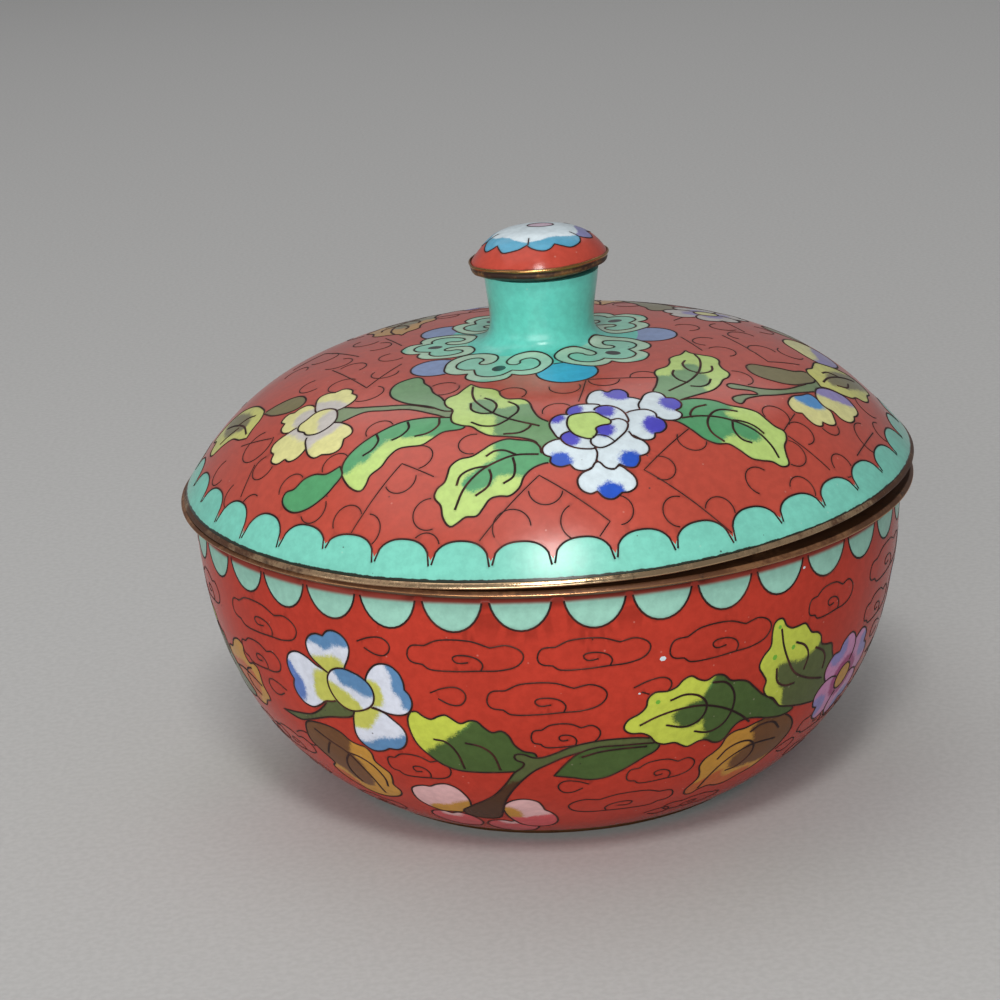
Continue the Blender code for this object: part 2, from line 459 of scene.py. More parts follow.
def scallopRow():
    pitch = 2 * math.pi / scallops["count"]
    start = math.radians(-90 + scallops["offset"])
    t = np.linspace(-1, 1, 21)
    swell = (1 - abs(t) ** scallops["square"]) ** (1 / scallops["square"])
    for i in range(scallops["count"]):
        at = start + (i + 0.5) * pitch
        ends = [scallops["feet"].get(k % scallops["count"], 0.0) for k in (i, i + 1)]
        foot = scallops["foot"] + scallops["lean"] * t + np.interp(t, (-1, 1), ends)
        top = scallops["top"] + scallops["uneven"] * (2 * dice.random() - 1)
        reach = foot - (foot - top) * swell
        turn = at + t * pitch / 2 * scallops["width"]
        arch = ringAt(reach, turn)
        # the turquoise runs together just below the feet, and closes over their ends
        closed = [scallops["foot"] + end - scallops["closed"] for end in ends]
        above = reach < np.interp(t, (-1, 1), closed)
        edge = at + np.linspace(1, -1, 7) * pitch / 2
        edge = np.concatenate([edge[:1], edge, edge[-1:]])
        reach = np.array([closed[1]] + [lidReach] * 7 + [closed[0]])
        cell(lid, np.vstack([arch[above], ringAt(reach, edge)]), "lidTurquoise", wire=None)
        wireOn(lid, arch)


# an oval is its middle and how wide and tall it is, from the middle
ruyi = {"greenTip": (0.0, 7.2, 3.4, 1.7), "dot": (1.1, 1.5), "outline": 15}


def ruyiHead(x, y, axis, size, dotShift):
    # one cloud head of the collar; the first corners of the half are its outline, the rest its curl
    half = [
        (0.0, 6.7), (1.8, 6.2), (3.2, 5.2), (3.7, 3.9), (3.7, 2.8, 0), (5.0, 3.2), (6.6, 2.9), (7.9, 1.7),
        (8.5, -0.3), (8.8, -2.9), (8.2, -5.4), (6.7, -7.4), (4.8, -8.0), (2.8, -7.6), (1.4, -6.6),
        (0.9, -4.6), (1.2, -3.0), (2.0, -2.1), (3.0, -2.1),
    ]
    fold = [
        (3.4, -3.1), (3.1, -4.2), (3.5, -5.2), (4.4, -5.7), (5.6, -5.2), (6.6, -3.6), (6.9, -1.6),
        (6.2, 0.1), (4.7, 0.9), (3.2, 0.8, 0), (2.7, 2.1), (1.9, 3.5), (0.0, 4.2),
    ]
    outer = half[:ruyi["outline"]]
    body = mirrored(outer)[:-1] + outer
    band = mirrored(half)[:-1] + half + fold[:-1] + mirrored(fold)
    place = (axis, x, y, size)
    cell(lid, turned(body, *place), "ruyiMiddle", wire=None)
    cell(lid, turned(band, *place), "ruyiPale", ("ruyiGreen", turned(oval(*ruyi["greenTip"]), *place)))
    cell(lid, turned(oval(dotShift, 0.0, *ruyi["dot"]), *place), "dot", wire=None)


def oval(x, y, wide, tall):
    return [(x + wide * math.cos(a), y + tall * math.sin(a)) for a in np.radians(range(0, 360, 45))]


def collarRing():
    for x, y, radius, glaze in (
        (3.5, -20.4, 4.8, "skyBlue"), (-16.8, -12.5, 4.1, "lavenderBlue"),
        (17.8, -1.4, 4.3, "lavenderBlue"), (4.0, 17.8, 4.5, "lavenderBlue"),
        (-15.0, 8.6, 4.5, "lavenderBlue"),
    ):
        cell(lid, disc(x, y, radius), glaze, wire=wires["line"])
    cell(lid, disc(0.0, 0.0, 15.8), "neckTurquoise", wire=None)
    # each head is its middle, axis and size, and how far its dot stands off that axis
    for head in (
        (-7.6, 13.6, 118.0, 0.86, 0.0), (12.6, 8.6, 35.0, 0.88, 0.0), (-17.1, -0.6, 177.0, 0.82, 0.0),
        (11.1, -11.7, -42.5, 0.93, 0.0), (-7.7, -16.0, -107.0, 0.97, 0.7),
    ):
        ruyiHead(*head)


def peony():
    white, blue = "petalWhite", "cobalt"
    cell(lid, [
        (6.1, -33.2), (6.2, -31), (7, -29.3), (8.3, -28.8), (9.3, -29.5), (10.2, -28.7), (11.4, -28.7),
        (12.3, -29.8), (12.4, -31.2, 0), (13.4, -31.5), (14.4, -32.2), (14.4, -33.6), (13.4, -35),
        (11.8, -35.8), (9.4, -35), (7.6, -34),
    ], white, (blue, disc(10.8, -30, 2.2)))
    cell(lid, [
        (14.3, -32), (15, -30.2), (16.3, -29.3), (17.6, -29.8), (18.2, -31, 0), (19.4, -31), (20.4, -32.2),
        (20.2, -33.6), (19.4, -34.4, 0), (20.3, -35.2), (19.9, -36.5), (18.5, -37.2), (17.2, -37.1),
        (16, -36), (14.2, -35), (13.8, -33.6),
    ], white, (blue, disc(19.1, -32.4, 2.1)))
    cell(lid, [
        (11.9, -35.9), (13.5, -35), (15, -34.8), (16.2, -35.6), (16.4, -36.7, 0), (17.4, -37.4),
        (17.7, -38.9), (16.9, -40.2), (15.9, -40.6, 0), (15.6, -41.8), (14.2, -42.3), (12.8, -41.6),
        (11.6, -40.5), (11.4, -38),
    ], white, (blue, disc(16.1, -38.6, 2.1)))
    cell(lid, [
        (11.5, -40.4), (12.6, -41.8), (14, -42.5), (14.8, -43.8), (14.5, -45), (13.3, -45.7, 0),
        (13.2, -46.8), (12.5, -47.9), (11.2, -48), (10.1, -47.5, 0), (9.3, -48.4), (8, -48.2), (7, -47),
        (6.7, -45.6), (7.4, -43.4), (9.4, -42),
    ], white, ("deepBlue", disc(11.9, -46.6, 1.8)))
    cell(lid, [
        (1.6, -42.2), (0, -42.6), (-1.2, -43.8), (-1.1, -45.2), (-0.1, -45.9, 0), (-0.2, -47), (1.1, -47.9),
        (2.7, -47.6, 0), (3.4, -48.5), (4.8, -48.8), (6.1, -48), (6.7, -46.7), (6.8, -44.8), (5.6, -43.4),
        (3, -43),
    ], white, ("deepBlue", disc(1.2, -46.8, 1.85)))
    cell(lid, [
        (6.8, -47.1), (5.8, -48.4), (4.4, -49.2), (3.6, -50.5), (4, -52.1), (5.4, -52.9), (6.5, -52.5, 0),
        (7.6, -53.6), (9, -53.7), (10.3, -52.6, 0), (11.6, -52.3), (12.6, -51.2), (12.4, -49.8),
        (11.4, -48.7), (10.1, -47.8), (9.2, -48.5), (8, -48.2),
    ], white, ("deepBlue", disc(8.6, -52.5, 2.1, 0.8)))
    # inner ring of petals round the yellow centre
    cell(lid, [
        (0.1, -38.6), (0.6, -37), (1.9, -36.1), (3.2, -36.4), (3.6, -38.6), (3.2, -41), (1.5, -42),
        (0.6, -40.6),
    ], white, (blue, disc(1, -36.8, 1.5)))
    cell(lid, [
        (3, -36.3), (3.1, -34.5), (4.4, -33.5), (6.4, -33.3), (8, -33.8), (8, -36), (5.4, -36.8),
    ], white, (blue, disc(3.6, -34.9, 1.75)))
    cell(lid, [
        (2, -43), (1.6, -41.6), (3, -40.5), (4.4, -41), (6.4, -42), (6.7, -44.2), (5, -44.5), (3.2, -44),
    ], white, (blue, disc(2.9, -42, 1.7)))
    cell(lid, [
        (7, -35.2), (7.8, -34.1), (9.4, -33.9), (10.9, -34.9), (11.8, -36.6), (11.9, -38.4), (10.6, -38.6),
        (8.6, -37.6),
    ], white, (blue, disc(8.6, -35.3, 1.7)))
    cell(lid, [
        (9.4, -37.9), (10.6, -37.5), (11.8, -38.4), (11.6, -40.2), (10.4, -42), (8.9, -43.6), (7.3, -44.3),
        (6.1, -43.4), (6.2, -42), (6.4, -40.2), (7.4, -38.4),
    ], white, (blue, disc(8.2, -40.2, 1.7)))
    cell(lid, [
        (3.3, -36.5), (5, -35.9), (7, -35.8), (8.3, -37), (9.3, -37.9), (9.2, -38.8), (7.9, -39.2),
        (7, -39.9), (7.1, -40.9), (6.2, -42.3), (4.8, -42), (3.5, -41), (2.8, -39.4), (2.8, -37.8),
    ], "limeYellow")
    wireOn(lid, [(6.4, -41.9), (7.2, -41.5), (8.6, -41.8), (9.6, -42.8)], wires["fine"])


def peonyLeaves():
    leaf(lid, [
        (-11.4, -22.6, 0), (-10, -24.4), (-8.2, -25.4), (-7.2, -26.6), (-6.9, -28.3), (-5.9, -29.8),
        (-3.8, -30.3), (-2.7, -31.6), (-2.2, -34), (-1.3, -36.5), (0.6, -38.4), (2.4, -41), (1.6, -44.4),
        (-1.3, -44.6), (-2.2, -42.4), (-4, -41.3), (-6.5, -40.5), (-9, -39.7), (-10.5, -38.3),
        (-11.6, -36.8), (-13, -36.1), (-14.4, -34.8), (-14.6, -33), (-14.3, -31.2), (-15.2, -29.7),
        (-15.5, -28), (-15, -26.8), (-13.6, -26), (-12.6, -24.4),
    ], "limeYellow", ("dullGreen", [
        (-11.6, -29.8), (-11.5, -32), (-10, -33.6), (-8.3, -34.3), (-7.8, -36), (-8.3, -38), (-7.6, -41.5),
        (-3, -44), (3, -45), (3, -38), (-1, -33.6), (-2.9, -31.9), (-5, -32.3), (-7.4, -32.4),
        (-7.7, -30.2), (-9.3, -28.8),
    ]), [
        [(-11.1, -23.7), (-11.2, -27), (-10.6, -29.8), (-8.2, -33.8), (-5.5, -36.3), (-1.4, -38.7)],
        [(-9.4, -28.6), (-8.2, -29.9), (-7.6, -31.7), (-8.2, -33.7)],
        [(-11.5, -29.9), (-11.4, -32), (-10, -33.5), (-8.3, -33.8)],
        [(-5.8, -30.8), (-4.5, -32.4), (-4.5, -34.2), (-6, -36)],
        [(-11.6, -35.6), (-10, -37), (-8, -37.4), (-6, -36.2)],
        [(-6.9, -39.8), (-4.5, -39.9), (-3.1, -39), (-2.6, -38.1)],
    ])
    leaf(lid, [
        (-4.7, -41.6, 0), (-6.5, -41.1), (-8.6, -41.7), (-10.3, -42.8), (-11.9, -43.7), (-13.8, -43.8),
        (-15.3, -44.8), (-15.9, -46.3), (-16.5, -47.6), (-17.7, -48.4), (-18.3, -49.8), (-17.5, -51.5),
        (-17.4, -53.6), (-16.5, -55.3), (-15.2, -55), (-13.9, -54.4), (-12.2, -54.6), (-11, -53.5),
        (-9.8, -52.2), (-8.4, -52), (-6.8, -52.2), (-5.2, -51), (-4.4, -49.2), (-3, -47.8), (-1, -47),
        (1.6, -46.8), (1.6, -44), (-1.3, -45), (-1.6, -43.6), (-2.6, -42.3),
    ], "limeYellow", ("leafGreen", [
        (-8.4, -41), (-8.2, -44.6), (-11, -46.2), (-13.6, -48.2), (-13.3, -50), (-11.5, -50.4),
        (-9.6, -49.8), (-8.2, -48.4), (-5.8, -48.7), (-3, -49.4), (2, -49), (2, -42), (-2, -40.6),
        (-5, -40.5),
    ]), [
        [(-1.9, -45.1), (-5.5, -44.8), (-8.5, -45.7), (-11, -47), (-13.6, -49.5), (-15.4, -52.8)],
        [(-14.7, -48.7), (-13.9, -47), (-12, -46.2), (-9.8, -46.2)],
        [(-12, -51.2), (-10, -50), (-9.3, -48.3), (-9.5, -46.9)],
        [(-9.8, -44.2), (-8.5, -43.4), (-7, -43.5), (-5.3, -44.7)],
        [(-7.6, -49.9), (-6, -48.9), (-5.6, -47), (-5.8, -45.2)],
    ], ("brightGreen", disc(-11.8, -48.9, 1.9, 0.75)))
    leaf(lid, [
        (22.7, -11.2, 0), (23.4, -12.4), (25, -13.2), (26.8, -13.8), (27.7, -15.2), (27.6, -17),
        (28, -18.7), (28.9, -20.2), (28.6, -21.8), (27.7, -23), (27, -25), (25.8, -27), (24, -28.6),
        (21.3, -30.6), (18.6, -32.6), (16, -31.4), (16.3, -29), (16.9, -27), (17.3, -24.2), (17, -22.3),
        (17.4, -20.8), (19, -19.3), (19.7, -17.5), (19.8, -15.5), (20.6, -14.3), (21.7, -13.4),
    ], "limeYellow", ("dullGreen", [
        (15, -23.4), (18.2, -23.2), (19.6, -22.6), (20.2, -20.8), (21.6, -20.2), (21.6, -18), (23.2, -17.6),
        (24.2, -18.6), (24.4, -21.2), (25.4, -22.8), (25.2, -25.4), (24.4, -26.8), (25, -28.4), (20, -34),
        (15, -33),
    ]), [
        [(24, -13), (24.6, -15.5), (24.4, -19), (23.6, -22), (22, -25), (18.8, -28.7)],
        [(22.2, -16.2), (21.7, -18), (22.4, -20.3), (23.9, -21.4)],
        [(26.3, -18), (26.2, -19.8), (25.2, -21), (24, -21.5)],
        [(20.1, -20.7), (19.8, -22.5), (20.6, -24.5), (22, -25.4)],
        [(25.7, -23.3), (25.2, -25.1), (24, -26.3), (22.3, -26.5)],
    ])
    leaf(lid, [
        (18, -34), (19.6, -32), (21.6, -30.8), (24, -30.3), (26, -30.4), (28, -31), (30.5, -30.9),
        (32.5, -31.2), (34, -32.5), (35.2, -33.4), (36.8, -33.9), (37.1, -35.5), (36.7, -37.2), (37, -39),
        (37.4, -40.7), (36.2, -41.7), (34.5, -41.5), (32.7, -42), (31, -42.2), (29, -41.2), (27.3, -40.5),
        (25.5, -41), (23.5, -40.5), (21.5, -38.8), (19.6, -37.4), (17, -36.6),
    ], "limeYellow", ("leafGreen", [
        (16, -38), (22, -42), (25.6, -41.8), (26.4, -39.8), (28.6, -38.2), (31.4, -38.6), (32.8, -37.2),
        (32, -35.6), (29.4, -34.6), (27.2, -33.4), (28.4, -31.8), (26.6, -29.6), (22, -29), (16, -31),
    ]), [
        [(20.2, -36.3), (23, -35.2), (26, -34.7), (29, -35), (32, -36), (34.3, -38), (35.7, -40.2)],
        [(24.3, -31.9), (22.4, -33.2), (21.6, -35), (21.8, -35.9)],
        [(29.2, -32.2), (26.5, -32.6), (25, -34), (24.2, -36.5), (24.8, -38.8), (26.7, -40.2)],
        [(33.3, -36), (31.8, -34.9), (30, -34.5), (28.3, -34.7)],
        [(28.2, -35.1), (28.3, -37), (29.5, -38.7), (31.2, -38.9)],
    ])


def leftSpray():
    cell(lid, [
        (-14, -31.6), (-17.4, -29.4), (-21, -26.9), (-25, -25.3), (-29, -23.5), (-32.6, -21.8),
        (-33, -25.8), (-28, -25.6), (-25, -26.8), (-21, -28.4), (-17, -31.6), (-13.6, -34),
    ], "greyGreen")
    cell(lid, [
        (-14.4, -31.4), (-18, -28.6), (-21.5, -26), (-23.6, -23), (-24, -20.4), (-23.2, -18),
        (-21.6, -16.7), (-19.8, -16.3), (-18.9, -17.4), (-18.6, -19.5), (-17.7, -21.5), (-17.2, -24),
        (-16, -26.3), (-15.3, -28.6),
    ], "dullGreen")
    leaf(lid, [
        (-12.6, -36.6), (-14, -33.8), (-16.2, -32.8), (-18.5, -32), (-22, -31.7), (-26, -32.8),
        (-29.5, -34.5), (-31.8, -36.5), (-32.5, -38.6), (-32.2, -40.6), (-31.3, -42.6), (-29.8, -43.9),
        (-28.7, -43), (-28, -41.8), (-26, -40.8), (-24.6, -39.2), (-23, -38.2), (-21.3, -38.4),
        (-19.4, -38.8), (-17.8, -38), (-16, -36.9),
    ], "limeYellow", ("leafGreen", [
        (-34, -36), (-31.8, -39.4), (-30, -38.4), (-28.4, -38.6), (-27, -37.2), (-26, -36.6), (-25, -35.6),
        (-23, -35.7), (-21, -36.4), (-19, -36.6), (-17.5, -37.4), (-15, -38.2), (-11, -37), (-12, -30),
        (-26, -30),
    ]), [
        [(-26.3, -33), (-26.1, -34.8), (-27.2, -36.4), (-28.8, -37)],
        [(-21.3, -32), (-21.2, -33.8), (-22.4, -35.2), (-24, -35.7)],
        [(-16.4, -33), (-16.6, -34.8), (-18.2, -36.2), (-20.4, -36.3)],
    ])
    cell(lid, [
        (-32.6, -37.2, 0), (-35, -37.4), (-37, -36.2), (-39, -35.9), (-41, -36.6), (-42.6, -36.2),
        (-43.5, -37.4), (-43, -39.5), (-41.5, -41.2), (-39, -42), (-36, -41.6), (-34, -40.5),
        (-32.5, -39.2),
    ], "leafGreen")
    cell(lid, [
        (-45.9, -9.4, 0), (-44.2, -12.6), (-41.6, -14.8), (-39.4, -15.3), (-38.2, -14.4), (-38, -12.8),
        (-38.7, -11), (-40.2, -9.9), (-43, -9.4),
    ], "olive")


def yellowFlower():
    cell(lid, [
        (-37, -21), (-36.2, -19.2), (-36.4, -17.4), (-37.5, -16), (-39, -15.9), (-39.9, -16.4, 0),
        (-41, -15.9), (-42.3, -17.2), (-41.7, -18.5, 0), (-42.4, -19.8), (-41.8, -21.5), (-40, -22.4),
        (-38, -22.4),
    ], "petalYellow", ("petalLavender", disc(-37.8, -20.2, 2.4)))
    cell(lid, [
        (-36, -20.2), (-36.2, -17), (-35.6, -14.7), (-34.1, -14.3), (-32.9, -14.9, 0), (-31.4, -14.6),
        (-30.1, -16), (-30.1, -17.4, 0), (-29.3, -19), (-30, -20.8), (-32, -21.9), (-34.4, -21.6),
    ], "petalYellow", ("petalLavender", [
        (-37, -17), (-34.4, -17.2), (-31.8, -19.4), (-30.6, -22), (-33, -23.4), (-37, -21),
    ]))
    cell(lid, [
        (-38.6, -22.2), (-41.5, -22.2), (-43.8, -22.8), (-44.5, -24.2), (-44, -25.5, 0), (-44.6, -27),
        (-43.5, -28.6), (-42, -28.7, 0), (-41.3, -29.9), (-39.8, -30.2), (-38.2, -29.2), (-37.4, -27.2),
        (-36.8, -25),
    ], "petalYellow", ("petalLavender", [
        (-41.4, -21.4), (-40.2, -24), (-38.8, -26.4), (-36.6, -28), (-35.6, -22.4),
    ]))
    cell(lid, [
        (-37.8, -26.4), (-38.1, -28.8), (-37.8, -31), (-36.8, -32.5), (-35.5, -32.6, 0), (-33.8, -33.5),
        (-32.3, -33.2), (-31.6, -31.2, 0), (-30.3, -30.6), (-30.2, -29), (-31.2, -27.2), (-32.6, -25.8),
        (-35, -25),
    ], "petalYellow", ("petalLavender", [
        (-38.6, -29.8), (-36.4, -28.6), (-33.6, -28), (-31.4, -26.6), (-33, -24), (-38, -25),
    ]))
    cell(lid, [
        (-36, -19.9), (-34.2, -20.2), (-32.8, -21.5), (-32.5, -23.5), (-32.9, -25.2), (-34.2, -26.3),
        (-36, -26.6), (-37.8, -25.6), (-38.3, -24.4, 0), (-39.3, -23), (-39, -21.6), (-37.8, -21),
    ], "petalYellow", ("petalLavender", [
        (-35.4, -22.4), (-33, -21.2), (-31.4, -25), (-35, -28), (-36, -25.6),
    ]))


def rightSpray():
    cell(lid, [
        (44.6, -14.2), (44.2, -17), (42.4, -19.2), (39.2, -22), (36, -24.5), (33.5, -26), (31, -28),
        (30, -29.8), (29, -29.6), (28.7, -28.5), (30.4, -27), (32.8, -25.5), (28.7, -25.6), (28.1, -24.7),
        (28.8, -24), (32, -23.9), (35, -23.2), (38, -21.4), (40.6, -18.5), (42.4, -16), (43.5, -13.6),
    ], "greyGreen")
    cell(lid, [
        (32, -16.2), (32.9, -14.9), (35, -14.6), (37.5, -14), (40, -13.4), (42, -11.9), (43.6, -12.4),
        (43.6, -14.5), (42, -16.6), (40, -18.6), (38, -19.6), (35.5, -19.8), (33.5, -19.3), (32.3, -18),
    ], "olive")
    cell(lid, [
        (40.4, 1.5), (42, -1), (44, -3), (46.5, -3.4), (48.6, -1.6), (50, 1), (50.4, 4.4), (49, 7.6),
        (46, 8.6), (42.6, 7.4), (40.6, 4.6),
    ], "petalYellow", ("petalViolet", [(45.4, -5), (46, 0), (45.6, 5), (48, 10), (52, 4), (51, -4)]))
    leaf(lid, [
        (44.6, -15.4, 0), (43.9, -13.6), (42.8, -12), (42.7, -10.2), (43.8, -8.6), (44.3, -6.5), (45, -4.3),
        (47, -2.8), (49.4, -1), (52, 0.6), (54.6, 0.8), (56.2, -1.6), (55.2, -5), (55, -8), (53.8, -10),
        (52, -11), (51, -12.6), (49, -13.8), (46.6, -14.4),
    ], "dullLime", ("olive", [
        (47, -12), (46.4, -9), (47.4, -6), (50, -2), (54, 2), (56, 0), (53, -6), (50.6, -9.6),
        (48.8, -10.4),
    ]), [
        [(45.4, -12.8), (46.5, -10), (48, -7.5), (50.5, -4.2), (53, -1.4)],
        [(45.7, -8.6), (47, -6.6), (49.4, -5.6)],
        [(48.2, -11), (50.4, -9), (51, -6.4)],
    ])
    cell(lid, [
        (42, -20.2), (43.2, -20.5), (44.6, -22), (45.8, -22.5), (46.3, -24), (46.5, -25.6), (45.3, -26.8),
        (44, -27, 0), (43.8, -28.2), (42.5, -28.8), (41.2, -28.2), (40.3, -27.2, 0), (39, -27.6),
        (38, -26.2), (38.2, -24.6), (39, -23), (40.5, -21.7),
    ], "petalYellow", ("petalBlue", [
        (39.2, -23.6), (41, -24.2), (43.6, -23.8), (44.6, -22.4), (43, -19), (40, -20),
    ]))
    cell(lid, [
        (43.3, -19.2), (43.7, -17), (45, -15.5), (47, -14.5), (49.5, -14.2), (50.9, -15.4), (51.6, -17),
        (51.2, -18.6), (50.6, -19.5, 0), (50.5, -20.9), (49.4, -22.5), (47.8, -23), (46.3, -22.1, 0),
        (44.6, -22), (43.5, -20.7),
    ], "petalYellow", ("petalViolet", [
        (42.6, -18.8), (46, -18.3), (48.2, -17.6), (50.8, -16.2), (51, -13), (45, -12.6), (41.6, -16),
    ]))


def farLeaf():
    leaf(lid, [
        (-49.3, -14.3, 0), (-48, -12.6), (-46.5, -11), (-45.8, -8.6), (-46.4, -6), (-47.4, -3.4),
        (-49, -0.8), (-51.6, 1.8), (-55, 2.6), (-58, 1.4), (-57.2, -1.2), (-58.4, -4), (-57.8, -6.8),
        (-55, -8), (-52.6, -9.5), (-51, -12.4),
    ], "dullLime", ("olive", [
        (-49.8, -9.6), (-52, -7.6), (-54.4, -5.2), (-55, 0), (-53, 2), (-50, -2), (-48.6, -6),
    ]), [
        [(-49.4, -12.6), (-50, -8.6), (-52, -4.4), (-54.4, -0.6)],
        [(-47.6, -7.6), (-49.4, -6), (-51.6, -5.4)],
        [(-55.8, -5.6), (-53.6, -6.2), (-51.2, -7)],
    ])


def lavenderFlower(x, y, size, at):
    # a plain four-petalled flower for the sides that show less
    petal = [
        (-0.25, 0.2), (-0.52, 0.55), (-0.46, 0.92), (-0.12, 1.0), (0.0, 0.9, 0), (0.14, 1.02), (0.46, 0.9),
        (0.52, 0.55), (0.25, 0.2),
    ]
    for axis in range(at, at + 360, 90):
        heart, = turned([(0.0, 0.35)], axis, x, y, size)
        tip = ("petalViolet", disc(*heart, size * 0.28))
        cell(lid, turned(petal, axis, x, y, size), "petalLavender", tip)
    cell(lid, disc(x, y, size * 0.3), "petalYellow")


# the back of the lid takes the front's drawing, turned half round and in other greens
for turn in (0.0, math.pi):
    lid["turn"] = turn
    lidGround()
lid["turn"] = 0.0
scallopRow()
collarRing()
backSwaps = {"limeYellow": "ochre", "dullGreen": "olive", "leafGreen": "greyGreen", "brightGreen": "olive"}
for turn, swap in ((math.pi, backSwaps), (0.0, {})):
    lid.update(turn=turn, swap=swap)
    leftSpray()
    peonyLeaves()
    peony()
rightSpray()
farLeaf()
yellowFlower()
lavenderFlower(28.6, 16.2, 7.0, 20)
print("lid drawn:", len(lid["cells"]), "cells,", len(lid["lines"]), "wires")

# the bowl, drawn in mm round its wall and mm below the band
bowl = newSheet(bowlForm, bowlSizes["wallRadius"])
# the last lappets are drawn together by these shifts, the very last one first
lappets = {
    "count": 36, "first": 5.1, "half": 4.62, "deep": 5.6, "uneven": 0.25,
    "shifts": (0.75, 0.8, 0.85, 0.75, 0.4),
}


def lappetRow():
    pitch = 2 * math.pi * bowlSizes["wallRadius"] / lappets["count"]
    for i in range(lappets["count"]):
        x = lappets["first"] + i * pitch
        fromEnd = lappets["count"] - i
        if fromEnd <= len(lappets["shifts"]):
            x -= lappets["shifts"][fromEnd - 1]
        deep = lappets["deep"] + lappets["uneven"] * (2 * dice.random() - 1)
        t = np.linspace(0, math.pi, 17)
        hang = np.stack([x - lappets["half"] * np.cos(t), -deep * np.sin(t)], 1)
        hang[[0, -1], 1] = 0.0
        cell(bowl, hang, "bowlTurquoise", wire=None)
        wireOn(bowl, hang, wires["outline"])


def fitted(points, x, y, width, tall):
    # a shape drawn two wide and two tall, brought to its place and size; a negative width flips it
    return [(x + p[0] * width / 2, y + p[1] * tall / 2, *p[2:]) for p in points]


def cloud(*place):
    # a long cloud with a curl rising from its lower line
    outline = [
        (-1.0, -0.1), (-0.92, 0.5), (-0.68, 0.6, 0), (-0.42, 1.0), (0.1, 1.02), (0.44, 0.62, 0),
        (0.74, 0.76), (0.98, 0.2), (0.9, -0.5), (0.6, -0.86), (0.22, -0.92), (-0.2, -1.0), (-0.62, -0.96),
        (-0.74, -0.66, 0), (-0.94, -0.52),
    ]
    curl = [
        (0.26, -0.92), (0.3, -0.5), (0.2, -0.1), (-0.02, 0.08), (-0.2, -0.08), (-0.14, -0.42),
        (0.06, -0.38),
    ]
    line = flowing(fitted(outline, *place), True)
    wireOn(bowl, np.vstack([line, line[:1]]), wires["bowlGround"], 0)
    wireOn(bowl, fitted(curl, *place), wires["bowlGround"], 0)


def teardrop(*place):
    outline = [(-1.0, 0.3, 0), (-0.2, 0.9), (0.6, 1.0), (1.0, 0.2), (0.7, -0.8), (0.1, -0.9), (-0.6, -0.3)]
    wireOn(bowl, fitted(outline, *place), wires["bowlGround"], 0)


def bowlGround():
    # each place is a middle, a width and a height
    for place in (
        (-53.0, -9.5, 18, 5.2), (-14.6, -9.7, 18, 5.0), (4.8, -9.7, 17, 4.8), (25.0, -10.6, 17.6, 5.4),
        (47.4, -9.8, 11.6, 4.8), (-2.6, -16.9, 18.4, 5.4), (0.0, -23.8, 11, 4.4), (-26.0, -31.6, 12, 5.2),
        (16.6, -33.8, 12.6, 5.0), (10.4, -41.6, -21, 5.6), (-56.0, -16.6, 12, 4.6), (-45.0, -47.6, 14, 4.6),
        (28.0, -47.4, -14, 4.2), (54.0, -34.0, 13, 4.8), (58.0, -42.0, -14, 4.6), (-58.0, -34.0, 13, 4.8),
    ):
        cloud(*place)
    for place in (
        (-29.2, -9.2, 5.6, 3.0), (-17.8, -16.6, 5.6, 3.2), (13.6, -16.6, 6.0, 3.0),
        (1.0, -35.4, -5.4, 3.2), (-53.2, -21.9, -5.2, 2.8), (-52.0, -31.6, 5.0, 3.0),
        (20.0, -49.0, 6.0, 3.0), (46.0, -38.0, 5.6, 3.0),
    ):
        teardrop(*place)


